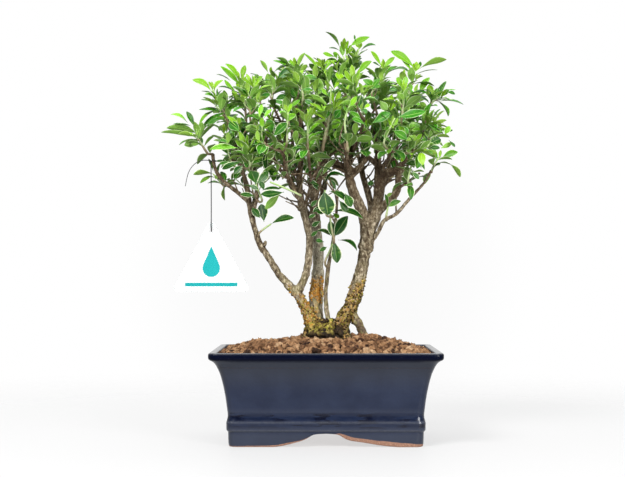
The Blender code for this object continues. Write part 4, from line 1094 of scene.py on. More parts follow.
# The foot and the tip of each.
SHOOTS = [
    ((-105, -15, 268), (-122, -20, 287)), ((-90, -8, 287), (-105, -10, 317)),
    ((-74, 0, 300), (-79, -4, 331)), ((-67, -25, 294), (-66, -32, 321)),
    ((-51, 5, 311), (-54, 5, 341)), ((-33, -3, 322), (-28, -8, 347)),
    ((-97, -10, 241), (-116, -5, 244)), ((-76, -36, 258), (-79, -50, 274)),
    ((-61, -32, 231), (-52, -46, 248)), ((-58, -36, 275), (-56, -54, 296)),
    ((-38, -50, 276), (-38, -64, 303)), ((-24, -28, 298), (-21, -44, 321)),
    ((9, 0, 322), (17, 0, 357)), ((23, 10, 328), (31, 13, 361)),
    ((-2, 14, 314), (-8, 17, 346)), ((50, 0, 317), (54, -4, 346)),
    ((76, -5, 311), (81, -10, 341)), ((35, -34, 300), (32, -50, 326)),
    ((4, -22, 290), (5, -34, 316)), ((17, -44, 279), (21, -61, 303)),
    ((94, -1, 297), (109, 0, 318)), ((93, -11, 284), (110, -14, 292)),
    ((100, -13, 258), (113, -15, 270)), ((82, -35, 257), (93, -49, 272)),
    ((67, -30, 290), (70, -45, 314)), ((60, -46, 275), (63, -64, 294)),
    ((76, -24, 240), (85, -40, 250)), ((56, 18, 304), (54, 25, 328)),
    ((5, -20, 198), (1, -32, 214)), ((12, -17, 180), (17, -23, 193)),
    ((9, -12, 164), (17, -17, 175)), ((-57, -12, 189), (-49, -15, 198)),
    ((-37, -47, 246), (-33, -62, 257)), ((56, -13, 203), (62, -17, 216)),
    ((-16, -58, 264), (-16, -72, 285)), ((-87, 30, 285), (-97, 42, 313)),
    ((-61, 40, 308), (-67, 50, 336)), ((-34, 42, 317), (-36, 50, 346)),
    ((-7, 48, 324), (-4, 55, 353)), ((24, 46, 324), (26, 54, 353)),
    ((50, 44, 317), (58, 52, 347)), ((76, 36, 298), (88, 46, 321)),
    ((88, 30, 276), (105, 40, 289)), ((-78, 36, 261), (-94, 48, 276)),
    ((-26, 60, 284), (-29, 67, 311)), ((13, 63, 284), (16, 70, 312)),
    ((60, 54, 279), (61, 66, 302)), ((-55, 46, 258), (-65, 60, 274)),
    ((68, 32, 253), (82, 46, 262)),
]
LIMB_STEP = 14.0
TWIG_STEP = 12.0
# A shoot starts at a free place on a limb, at best at its end, and stands a stub off the bark.
START_SPACING = 6.0
SHOOT_STUB = 4.0
SHOOT_RISE = 1.5
END_BONUS = 4.0
TWIG_BASE = 1.1
TWIG_TIP = 0.7
MAIN_STEM = 1.8
MAIN_STEM_SHOOT = 18
# Side twigs, only on shoots this far forward and this high: how many, and how long.
SIDE_TWIGS = 3
CROWDED_DEPTH = -60
CROWDED_HEIGHT = 262
SIDE_TWIG_LENGTH = (10, 20)
SIDE_TWIG_RADII = (0.75, 0.5)
# Shoots that end below this height carry darker leaves.
LOW_SHOOT_TOP = 245.0
LOW_SHOOT_SHADE = 0.22
DARKEST = 0.04
# Leaf brightness by height, painted light and shade: painted shade on the low shoots, brightest
# in the crown's middle, and painted darker at the top, under the strongest light.
PAINTED_LIGHT_HEIGHTS = (236.0, 256.0, 300.0, 335.0, 365.0)
PAINTED_LIGHT_BY_HEIGHT = (0.66, 1.0, 1.26, 1.12, 0.86)
# Leaves that grow by rule: how many pairs, on how much of the shoot, how long, how far from the
# shoot in degrees, how many in the tuft, and how young at the foot and at the tip.
GROWN = dict(pairs=5, leafy=42.0, length=(17.0, 24.0), spread=(52, 84), tuft=6, youth=(0.2, 0.9))
BEHIND_FRONT = dict(leafy=38.0, length=(14, 20), spread=(50, 80), tuft=0, youth=(0.1, 0.75))
BEHIND_FRONT_PAIRS = 3
ON_SIDE_TWIG = dict(pairs=1, leafy=10.0, length=(16, 23), spread=(45, 80), tuft=3,
                    youth=(0.15, 0.8))
IN_CROWN = dict(leafy=16.0, length=(15, 23), spread=(45, 85))
# Leaf pairs: how far the first stands up the leafy part, in pairs, how far each quarter turn
# may be off, how much younger, steeper and shorter they get towards the tip.
PAIR_START = 0.3
TURN_PLAY = 0.3
PAIR_YOUNGER = 0.45
PAIR_STEEPER = 14
PAIR_SHORTER = 0.2
# Tufts at the tips: how far below the tip, how wide, how long as a share of other leaves.
TUFT_BELOW_TIP = 0.5
TUFT_SPREAD = (15, 58)
TUFT_SHARE = (0.4, 0.8)
# A leaf's width as a share of its length, how far it rolls, and how far it arches.
LEAF_BROAD = (0.42, 0.54)
TUFT_BROAD = (0.4, 0.52)
LEAF_ROLL = 0.35
LEAF_ARCH = (0.02, 0.14)
# Photographed leaves are drawn a little wider than they look, more so on the low shoots, and
# are at least so wide for their length, up to a limit.
FRONT_WIDER = 1.12
LOW_WIDER = 1.3
EDGE_WIDER = 1.04
LEAST_BROAD = 0.42
LEAST_BROAD_UP_TO = 8.5
FRONT_BASE_PLAY = (-3, 3)
FRONT_TIP_PLAY = (-5, 3)
# A broad young leaf at the front is the middle one of a tuft of three: how young and broad it
# looks at least, how much narrower it and the others get, and how far the others splay.
TUFT_YOUTH = 0.72
TUFT_LOOKS = 5.5
MIDDLE_SHARE = 0.6
ASIDE_SHARE = 0.5
ASIDE_SPLAY = (0.3, 0.5)
ASIDE_LENGTH = (0.75, 0.9)
ASIDE_TURN = 0.5
ASIDE_OLDER = 0.12
# The leaves that the photograph shows at the front, by shoot: the pixels that the green stem
# runs through, then for each leaf the pixels of its base and tip, how wide it looks there, its
# youth from 0, dark, to 1, lime (a minus shows its underside), and how far it bows up, in pixels.
FRONT_LEAVES = {
    0: ([(205, 150), (199, 140), (195, 131)], [
        (187, 122, 170, 114, 3.5, 0.5, 2), (194.5, 127, 186, 111, 5.5, 0.08, 0),
        (190, 125, 173, 123.5, 1.5, 0.1, 0), (197, 133, 166, 127.5, 7, -0.35, 2),
        (197, 137, 160.5, 132, 4, -0.35, 1), (199, 140, 184, 145, 8, -0.2, 0),
        (200, 143, 190, 144, 4, -0.25, 0), (202, 144, 201, 137, 2.5, 0.1, 0),
        (198, 130, 217, 109.5, 4, 0.6, 4), (199, 134, 224, 113, 5, 0.15, 3.5)]),
    1: ([(226, 118), (220, 105), (215, 95), (212, 89)], [
        (211, 91, 192, 79, 6.5, 0.68, 3), (213, 88, 208, 81, 3, 0.9, 0),
        (214, 93, 223, 79.5, 4, 0.7, 3), (215, 97, 201, 90.5, 1.5, 0.1, 1.5),
        (235, 92, 218, 86.5, 2, 0.1, 2), (212, 90, 211.5, 81, 3.5, 0.95, 0),
        (225, 136, 206, 124, 2.5, 0.5, 3.5), (224, 134, 223, 123, 3.5, 0.85, 0),
        (225, 114, 205, 107, 2.2, 0.1, 2), (216, 99, 217, 88, 2, 0.3, -1)]),
    2: ([(246, 118), (244, 100), (241, 86)], [
        (240, 85, 220, 65.5, 6, 0.42, 0), (238, 80, 225, 63, 4.5, 0.6, 2),
        (241, 80, 245, 64.5, 6, 0.7, 0), (239, 82, 236.5, 70, 3, 0.95, 0),
        (241, 84, 243, 72, 5, 0.8, 0), (230, 80, 216, 73.5, 2, 0.15, 1),
        (236, 92, 224, 79, 4, 0.5, -1), (241, 99, 228, 98.5, 2.2, 0.1, 3),
        (241, 98, 243, 92.5, 2.5, 0.1, 0), (241, 103, 228, 109, 5.5, 0.15, 1),
        (246, 104, 238, 106, 3, 0.8, 0)]),
    3: ([(250, 118), (250, 100), (253, 88)], [
        (253, 86, 246, 73, 6, 0.8, 0), (253, 88, 254, 75, 6, 0.88, 0),
        (254, 86, 262, 75.5, 5.5, 0.6, 1), (251, 92, 246, 82.5, 2.5, 0.08, 0),
        (258, 77, 250, 73, 1.5, 0.1, 1), (255, 92, 272, 85.5, 3, 0.7, 1),
        (262, 80, 270, 79.5, 1.5, 0.1, 0), (252, 101, 258, 112, 6, 0.15, 0),
        (258, 99, 270, 94, 7, 0.08, 0), (258, 107, 268, 112, 7, 0.15, 0)]),
    4: ([(272, 100), (273, 88), (271, 72)], [
        (268, 72, 260, 59.5, 4, -0.5, 0), (271, 75, 271, 66, 3, 0.6, 0),
        (275, 82, 299, 68.5, 9, 0.05, 3.5), (273, 72, 300, 67, 2.5, 0.3, 4),
        (289, 65, 273, 60, 4, 0.35, 0), (290, 65, 276, 57, 3, -0.3, 1),
        (306, 73.5, 292, 72, 2.5, 0.05, 0), (275, 99, 287, 95, 6, 0.12, 0),
        (267, 104, 281, 108, 5, 0.3, 0), (275, 84, 274, 92, 3, 0.1, 0)]),
    5: ([(298, 92), (296, 78), (295, 66)], [
        (295, 67, 294, 56.5, 6, 0.88, 0), (298, 68, 305, 52, 4, -0.45, 1),
        (318, 68, 304, 53, 4, 0.55, 0), (296, 85, 287, 77, 8, 0.78, 0),
        (297, 97, 291, 88, 8, 0.3, 0), (294, 66, 288, 60, 3, 0.4, 0)]),
    6: ([(222, 184), (216, 177), (213, 174)], [
        (213, 173.5, 193, 174.5, 4.8, -0.6, 1), (212, 176, 200, 183, 4, 0.55, 1),
        (213, 171, 208, 158.5, 3, 0.65, 0), (214, 161, 228, 163, 3.5, 0.1, 0.5),
        (216, 174, 217, 167, 3.5, 0.5, 0), (215, 179, 218, 175, 4, 0.85, 0)]),
    7: ([(250, 165), (247, 155), (246, 148)], [
        (246, 150, 239, 131, 9, 0.72, 0), (247, 150, 242.5, 138, 8, 0.95, 0),
        (238, 148, 209, 149.5, 7, 0.42, 2), (249, 148, 271, 124, 4, 0.6, 2.5),
        (258, 158, 250, 144, 10, 0.02, 0), (258, 160, 274, 143, 5, 0.12, 2),
        (241, 124, 257, 119, 2, 0.2, 5), (240, 130, 227, 116, 4.5, 0.72, 1),
        (239, 124, 239, 117, 4, 0.72, 0), (239, 131, 229, 122, 9, 0.2, 0),
        (228, 142, 217, 141, 3, 0.05, 1), (247, 156, 231, 153, 3.5, -0.1, 2),
        (259, 127, 245, 127, 5, -0.2, 0)]),
    8: ([(262, 200), (258, 190), (256, 184)], [
        (256, 184, 251, 171, 11, 0.35, 0), (256, 184, 268, 171, 7, 0.4, -1),
        (249, 185, 258, 189, 4, 0.02, 0), (266, 172, 266, 153, 5, 0.08, 0),
        (243, 161, 222, 169, 5.5, 0.02, 0), (243, 165, 234, 173, 6, 0.05, 0),
        (250, 158, 246, 167, 7, 0.38, 0), (230, 161, 219, 164, 3, 0.05, 0),
        (287, 157, 270, 142, 4, -0.45, 3), (264, 160, 275, 151, 6, -0.4, 0),
        (270, 138, 266, 131, 4, 0.85, 0)]),
    9: ([(262, 140), (262, 128), (262, 118)], [
        (262, 128, 262, 117, 5, 0.6, 0), (259, 117, 262, 104, 5, 0.5, 0),
        (264, 118, 272, 109, 4, 0.5, 1), (262, 121, 252, 114, 5, 0.3, 1)]),
    10: ([(287, 140), (287, 125), (288, 112)], [
        (288, 112, 284, 104, 4, 0.95, 0), (273, 136, 287, 123, 10, 0.15, 0),
        (281, 140, 287, 125, 6, 0.4, 0), (291, 106, 300, 99.5, 4, 0.35, 0),
        (288, 112, 292, 103, 4, 0.7, 0), (288, 116, 279, 111, 4, 0.35, 1)]),
    11: ([(303, 96), (301, 86), (299, 75)], [
        (299, 79, 296, 72, 3.5, 0.8, 0), (319, 80, 303, 77, 3, 0.25, 2),
        (301, 86, 303, 79, 3, 0.4, 0), (302, 89, 312, 89, 3.5, 0.2, 0),
        (330, 109, 299, 98, 6, -0.4, 5), (314, 104, 305, 100, 5, 0.08, 0),
        (311, 116, 311, 105, 5, 0.95, 0), (327, 121, 313, 111, 4, 0.78, 0),
        (325, 112, 316, 104, 5, 0.75, 0)]),
    12: ([(344, 90), (343, 72), (344, 56)], [
        (340, 47, 325.5, 31, 2.2, -0.2, 2), (344, 50, 344.5, 37, 7, 0.85, 0),
        (343, 56, 341.5, 44, 5.5, 0.55, 0), (346, 54, 352, 44, 5, 0.75, 0),
        (350, 45, 370, 36.3, 7, 0.5, 0), (355, 40, 354.5, 34, 2, 0.3, 0),
        (340, 50, 329, 47.5, 1.5, 0.1, 1), (335, 56, 323, 52.5, 4.5, 0.5, 0),
        (337, 58, 334, 51, 4, 0.4, 0), (343, 62, 326, 69, 4, 0.6, 4),
        (341, 78, 336, 62, 3, 0.3, 0)]),
    13: ([(352, 75), (356, 60), (359, 48)], [
        (360, 48, 359, 40, 7, 0.9, 0), (361, 50, 376, 44.5, 3, 0.25, 2),
        (357, 55, 352, 50, 4, 0.2, 0), (357, 58, 362, 58, 1.5, 0.1, 0),
        (352, 79, 338, 58, 3.5, 0.5, 3)]),
    14: ([(321, 100), (320, 85), (323, 66)], [
        (323, 67, 318, 57.5, 7, 0.9, 0), (323, 66, 330, 58, 2.5, 0.6, 0),
        (325, 72, 322, 63, 5, 0.5, 0), (325, 73, 315, 67.5, 3, 0.25, 0),
        (328, 75, 341, 77, 8, 0.08, 0), (327, 77, 333, 69, 6, 0.3, 0),
        (325, 88, 320, 82, 4, 0.4, 0)]),
    15: ([(372, 92), (380, 84), (383, 70)], [
        (382, 66, 371, 50.5, 5, 0.6, 0), (384, 66, 395, 56.5, 5, 0.6, 0),
        (381, 66, 373, 62, 2.5, 0.1, 0), (384, 74, 383, 58, 4, 0.82, 0),
        (385, 68, 389, 63, 3, 0.5, 0), (372, 88, 380, 78, 5, 0.2, 0),
        (386, 71, 396, 67, 3, 0.15, 1)]),
    16: ([(404, 108), (411, 88), (414, 72)], [
        (415, 68, 391, 50.5, 8, 0.55, 2), (413, 72, 402, 59.5, 4, 0.5, 0),
        (416, 71, 417, 61, 8, 0.95, 0), (420, 68, 447, 59, 5, -0.6, 2),
        (420, 67, 421, 61, 3, 0.1, 0), (413, 76, 389, 72, 4, 0.15, 6),
        (415, 75, 438, 69.5, 1.5, 0.1, 2), (420, 93, 430, 77, 7, 0.55, 1),
        (420, 90, 432, 100, 2, 0.1, 5), (411, 97, 429, 101, 3, 0.08, 1)]),
    17: ([(354, 100), (354, 88), (353, 76)], [
        (353, 84, 352, 64, 9, 0.88, 0), (358, 74, 372, 60.5, 7, 0.5, 1.5),
        (356, 86, 336, 80.5, 4, -0.4, 1), (334, 88, 340, 80, 4, 0.8, 0)]),
    18: ([(321, 155), (327, 128), (330, 108), (331, 88)], [
        (341, 100, 373, 86, 7, 0.6, 1.5), (334, 108, 341, 89, 8, 0.92, 0),
        (334, 118, 341, 110, 8, 0.08, 0), (332, 129, 340, 119, 9, 0.5, 0),
        (327, 131, 310, 124, 3.5, -0.4, 3), (316, 131, 305, 131, 3, 0.03, 0),
        (327, 95, 322, 88, 4, 0.5, 0)]),
    19: ([(348, 150), (345, 120), (350, 104)], [
        (357, 108, 341, 103, 5, -0.4, 3), (362, 122, 349, 111, 5, 0.3, 1),
        (364, 108, 370, 104, 4, 0.85, 0), (366, 125, 352, 118, 5, 0.2, 1),
        (350, 106, 357, 96, 5, 0.5, 0)]),
    20: ([(425, 112), (433, 102), (442, 94)], [
        (441, 97, 449, 89, 5, 0.5, 0), (447, 90, 456, 89.5, 1.5, 0.3, 0),
        (447, 92, 455.5, 94, 3.5, 0.2, 1), (436, 102, 464, 104.5, 2, 0.1, 3),
        (440, 93, 438, 88, 1.3, 0.2, 0), (428, 108, 420, 102, 5, -0.5, 0),
        (429, 110, 439, 118, 1.3, 0.2, 2)]),
    21: ([(418, 134), (428, 127), (436, 123)], [
        (426, 128, 447, 120, 4, -0.65, 0), (428, 128, 444, 131, 4, 0.4, 1),
        (445, 135, 450, 126, 6, 0.5, 0), (444, 132, 453, 130, 3, 0.2, 0),
        (443, 132, 436, 129, 3, 0.4, 0), (430, 123, 427, 117, 3.5, 0.3, 0),
        (427, 130, 402, 128, 8, 0.3, 2), (425, 129, 410, 123, 7, 0.4, 0)]),
    22: ([(432, 170), (436, 162), (440, 156)], [
        (442, 158, 458, 152, 7, 0.4, 1), (441, 148, 453, 143, 5, -0.45, 0),
        (449, 140, 455, 147, 3, 0.05, 0), (450, 164, 460.5, 177, 4.5, -0.45, 1.5),
        (437, 163, 451, 164.5, 1.2, 0.1, 1), (437, 160, 421, 151, 5, -0.4, 2),
        (440, 159, 441, 150, 3, 0.95, 0), (438, 158, 433, 150, 3, 0.9, 0)]),
    23: ([(420, 150), (428, 146), (430, 142)], [
        (428, 146, 441, 139, 10, 0.12, 1), (418, 130, 426, 143, 1.5, 0.05, 3),
        (422, 150, 427, 144, 4, 0.8, 0), (416, 140, 422, 134, 4, 0.5, 0),
        (406, 141, 414, 136, 5, -0.4, 0), (430, 147, 440, 148, 5, 0.1, 0)]),
    24: ([(402, 118), (404, 100), (404, 90)], [
        (403, 88, 397, 77, 6, 0.5, 0), (404, 88, 407, 76, 6, 0.5, 0),
        (404, 91, 404, 80, 5, 0.88, 0), (411, 92, 410, 83, 5, 0.45, 0),
        (398, 90, 389, 90, 5, 0.08, 1), (391, 110, 392, 94, 8, 0.85, 0),
        (412, 101, 420, 104, 5, 0.25, 0)]),
    25: ([(384, 142), (390, 128), (395, 118)], [
        (393, 128, 393, 115, 6, 0.8, 0), (398, 117, 426, 111.5, 9, 0.2, 0),
        (393, 130, 407, 139, 9, 0.15, 0), (372, 123, 391, 113, 10, 0.15, 0),
        (415, 121, 424, 116, 2, 0.05, 0), (380, 100, 387, 110, 7, -0.15, 0)]),
    26: ([(408, 182), (410, 170), (412, 165)], [
        (405, 164, 419, 164, 6, 0.25, 1), (401, 162, 404, 157, 4, 0.85, 0),
        (412, 171, 419, 179, 5, 0.25, 0), (404, 186, 413, 184, 3, 0.3, 0),
        (404, 184, 411, 190, 2.5, 0.3, 1), (403, 158, 402, 150, 4, 0.1, 0),
        (409, 160, 408, 152, 3.5, 0.15, 0)]),
    28: ([(326, 214), (325, 200), (325, 190)], [
        (324, 190, 328, 215, 14, 0.3, 0), (329, 191, 347, 203, 5.5, 0.3, 3),
        (345, 193, 351, 207, 8, 0.02, 0), (324, 187, 346, 177, 4, 0.2, 8),
        (318, 200, 311, 206, 4, 0.35, 0), (322, 206, 313, 212, 4, 0.3, 0),
        (316, 214, 309, 218, 3.5, 0.3, 0), (321, 221, 312, 226, 4, 0.25, 0),
        (318, 231, 311, 236, 3.5, 0.3, 0), (339, 200, 347, 212, 6, 0.1, 0),
        (336, 190, 330, 180, 5, 0.2, 0), (318, 190, 312, 180, 4, 0.15, 0),
        (320, 188, 309, 183, 2.5, 0.1, 2), (325, 213, 315, 210, 5.5, 0.2, 0)]),
    29: ([(334, 240), (331, 226), (330, 214)], [
        (331, 212, 363, 219, 5, 0.2, 4.5), (333, 213, 339, 218, 4, 0.55, 0),
        (334, 237, 348, 216, 10, 0.15, 0), (333, 238, 330, 221, 7, 0.3, 0)]),
    30: ([(325, 262), (330, 250), (334, 240)], [
        (331, 236, 317, 231, 4, 0.08, 2), (338, 240, 357, 251, 3.5, 0.3, 3),
        (334, 240, 337, 263, 9, 0.3, 0), (324, 242, 316, 240, 4, 0.4, 0),
        (327, 247, 320, 251, 4, 0.35, 0)]),
    31: ([(259, 233), (265, 228), (271, 224)], [
        (271, 224, 294, 218, 5.5, 0.3, 2), (264, 222, 261, 204, 9, 0.3, 0),
        (260, 218, 252, 208, 6, 0.1, 0)]),
    32: ([(300, 195), (285, 188), (270, 182)], [
        (284, 192, 261, 194, 6.5, 0.25, -1), (262, 190, 280, 189, 3.5, 0.05, 1),
        (264, 190, 260, 181, 5, 0.12, 0), (280, 194, 265, 209, 6, -0.4, 0),
        (255, 196, 240, 194, 4, 0.15, 0), (305, 147, 291, 150, 3, 0.1, 1)]),
    33: ([(386, 218), (387, 212), (388, 207)], [
        (388, 207, 401, 201, 5, 0.42, 1), (388, 208, 385, 194, 3, 0.45, 0),
        (386, 197, 392, 193, 3, -0.5, 0), (372, 180, 370, 186, 5, 0.2, 0)]),
}
LEAF_ROWS = np.array((0.0, 0.07, 0.18, 0.32, 0.48, 0.64, 0.79, 0.91, 0.975))
LEAF_COLUMNS = np.array((1.0, 0.0, -1.0, 0.0))
LEAF_SIDES = np.array((0.0, 1.0, 0.0, -1.0))
LEAF_THICKNESS = 0.3
LEAF_STALK = 0.07
STALK_RADIUS = 0.32
LEAF_FULLNESS = 0.72
LEAF_SMOOTH_UNDER = 80
# How far a leaf's halves fold up, in degrees, how it twists, and how its margin waves.
LEAF_FOLD = (8, 30)
LEAF_TWIST = 0.22
MARGIN_WAVE = 0.08
# How far leaves differ in youth and brightness, and how cream the margin of young ones is.
YOUTH_PLAY = 0.05
TINT_PLAY = (0.78, 1.22)
YOUNG_FROM = 0.6
YOUNG_MARGIN = 0.25
# Side twigs inside the crown: the lowest, how long, how many are left out, and how many of those
# above the lowest leaves carry leaves.
INNER_STEP = 6.0
INNER_FROM = 196.0
INNER_LENGTH = (12.0, 32.0)
INNER_LEFT_OUT = 0.1
INNER_LEAFY = 0.72
INNER_OUTWARD = (0.008, 0.014, 0.0)
INNER_BELOW_LEAVES = 25
INNER_RADIUS = 0.95
INNER_TAPER = 0.5
CROWN_CENTRE = np.array((-2.0, -2.0, 272.0))
CROWN_REACH = np.array((104.0, 68.0, 92.0))
# How low the leaves hang, from X to height.
LEAVES_FROM_X = np.array((-120.0, -60.0, -25.0, 15.0, 30.0, 55.0, 75.0, 120.0))
LEAVES_FROM_Z = np.array((226.0, 232.0, 248.0, 254.0, 270.0, 268.0, 246.0, 240.0))


def branch_samples():
    """Places where a shoot can start: a point, how far the bark is from it, the limb's
    direction there, and whether it is the limb's end, where a shoot goes straight on."""
    samples = []
    for start, end, points in LIMBS:
        route = smooth_route(points, LIMB_STEP)
        radii = np.linspace(start, end, len(route))
        samples.append((route[-1], 0.0, unit(route[-1] - route[-2]), True))
        for low, high, low_radius, high_radius in zip(route, route[1:], radii, radii[1:]):
            for share in (0.25, 0.5, 0.75):
                radius = low_radius + (high_radius - low_radius) * share
                samples.append((low + (high - low) * share, radius, unit(high - low), False))
    return samples


def shoot_route(shoot, samples, taken):
    """A shoot's middle line, from the nearest free place on a limb to its last leaves."""
    base, tip = (np.array(point, float) for point in shoot)
    free = [sample for sample in samples
            if all(np.linalg.norm(sample[0] - place) > START_SPACING for place in taken)]
    here, bark, direction, is_end = min(
        free, key=lambda sample: np.linalg.norm(sample[0] - base) - END_BONUS * sample[3])
    taken.append(here)
    away = base - here
    out = direction if is_end else unit(away - direction * (away @ direction))
    lean = direction * (0 if is_end else SHOOT_RISE)
    knots = [here + out * (bark + GAP), here + out * (bark + GAP + SHOOT_STUB) + lean]
    if (np.linalg.norm(base - knots[1]) > SHOOT_STUB
            and np.linalg.norm(base - tip) < np.linalg.norm(knots[1] - tip)):
        knots.append(base)
    return smooth_route(knots + [tip], TWIG_STEP)


def along(route, distance):
    """The point at a distance along a route, and the route's direction there."""
    for start, end in zip(route, route[1:]):
        length = float(np.linalg.norm(end - start))
        if distance <= length or end is route[-1]:
            break
        distance -= length
    return start + (end - start) * min(1.0, distance / length), unit(end - start)


def length_of(route):
    """How long a route is."""
    return float(np.linalg.norm(np.diff(route, axis=0), axis=1).sum())


def turned(vector, axis, angle):
    """A vector turned about an axis."""
    return (vector * math.cos(angle) + np.cross(axis, vector) * math.sin(angle)
            + axis * (axis @ vector) * (1 - math.cos(angle)))


def beside(axis):
    """A direction at right angles to an axis, as Blender's Vector.orthogonal gives it."""
    x, y, z = axis
    largest = int(np.argmax(np.abs(axis)))
    side = ((-y - z, x, x), (y, -x - z, y), (z, z, -x - y))[largest]
    return unit(np.array(side))


def upper_face(heading):
    """The direction that a leaf's upper side looks, as far up as its own direction allows."""
    sideways = unit(np.cross(heading, UP))
    return unit(np.cross(sideways, heading))


def leaf_of(point, heading, length, youth, draw, broad=LEAF_BROAD):
    """One leaf as (base, tip, face, width, bow, youth), arched and rolled a little at random."""
    face = upper_face(heading + 1e-4)
    face = turned(face, heading, draw.gauss(0, LEAF_ROLL))
    return (point, point + heading * length, face, length * draw.uniform(*broad),
            face * length * draw.uniform(*LEAF_ARCH), youth)


def leaves_along(route, draw, pairs, leafy, length, spread, tuft, youth):
    """Leaves of one shoot: opposite pairs, each a quarter turn on from the last and younger and
    steeper towards the tip, and a tuft of small ones at the tip."""
    total = length_of(route)
    leafy = min(total, leafy)
    turn = draw.uniform(0, math.pi)
    leaves = []
    for pair in range(pairs):
        up_shoot = (pair + PAIR_START) / pairs
        point, axis = along(route, total - leafy + leafy * up_shoot)
        side = turned(beside(axis), axis,
                      turn + pair * math.pi / 2 + draw.uniform(-TURN_PLAY, TURN_PLAY))
        age = youth[0] + (youth[1] - youth[0]) * PAIR_YOUNGER * up_shoot
        for way in (1, -1):
            angle = math.radians(draw.uniform(*spread) - PAIR_STEEPER * up_shoot)
            heading = axis * math.cos(angle) + side * way * math.sin(angle)
            heading = unit(heading + UP * draw.uniform(-0.2, 0.2))
            long = draw.uniform(*length) * (1 - PAIR_SHORTER * up_shoot)
            leaves.append(leaf_of(point, heading, long, age, draw))
    point, axis = along(route, total - TUFT_BELOW_TIP)
    for leaf in range(tuft):
        side = turned(beside(axis), axis, turn + leaf * math.tau / tuft)
        angle = math.radians(draw.uniform(*TUFT_SPREAD))
        heading = unit(axis * math.cos(angle) + side * math.sin(angle))
        long = draw.uniform(*length) * draw.uniform(*TUFT_SHARE)
        leaves.append(leaf_of(point, heading, long, youth[1], draw, TUFT_BROAD))
    return leaves


def front_leaves(number, depth, draw):
    """The photographed leaves of a shoot, at the shoot's own depth: each as long as it looks,
    and turned about its length until it looks as wide as it does there."""
    leaves = []
    stem, blades = FRONT_LEAVES[number]
    low = seen_at(*stem[-1], depth)[2] <= LOW_SHOOT_TOP
    scale = (CAMERA_AWAY + depth) / PHOTO_FOCUS
    for base_x, base_y, tip_x, tip_y, looks, youth, bow in blades:
        if low and youth > 0:
            youth = max(DARKEST, youth - LOW_SHOOT_SHADE)
        near = depth + draw.uniform(*FRONT_BASE_PLAY)
        base = seen_at(base_x, base_y, near)
        tip = seen_at(tip_x, tip_y, near + draw.uniform(*FRONT_TIP_PLAY))
        heading = unit(tip - base)
        long = float(np.linalg.norm(tip - base))
        rise = unit(np.cross(heading, (0.0, 1.0, 0.0)))
        rise = rise if rise[2] >= 0 else -rise
        toward = unit(np.cross(rise, heading))
        toward = toward if toward[1] < 0 else -toward
        looks *= LOW_WIDER if low else FRONT_WIDER
        width = max(looks * scale * EDGE_WIDER, min(LEAST_BROAD * long, LEAST_BROAD_UP_TO))
        tilt = math.acos(min(1.0, looks * scale / width))
        upper = -1 if youth < 0 else 1
        face = upper * toward * math.cos(tilt) + rise * math.sin(tilt)
        bend = rise * bow * scale - toward * 0.03 * long
        if youth < TUFT_YOUTH or looks <= TUFT_LOOKS:
            leaves.append((base, tip, face, width, bend, abs(youth)))
            continue
        leaves.append((base, tip, face, width * MIDDLE_SHARE, bend, youth))
        for way in (1, -1):
            aside = unit(turned(heading, toward, way * draw.uniform(*ASIDE_SPLAY)))
            end = base + (aside + toward * 0.2) * long * draw.uniform(*ASIDE_LENGTH)
            leaves.append((base, end, turned(face, heading, -way * ASIDE_TURN),
                           width * ASIDE_SHARE, bend, youth - ASIDE_OLDER))
    return leaves


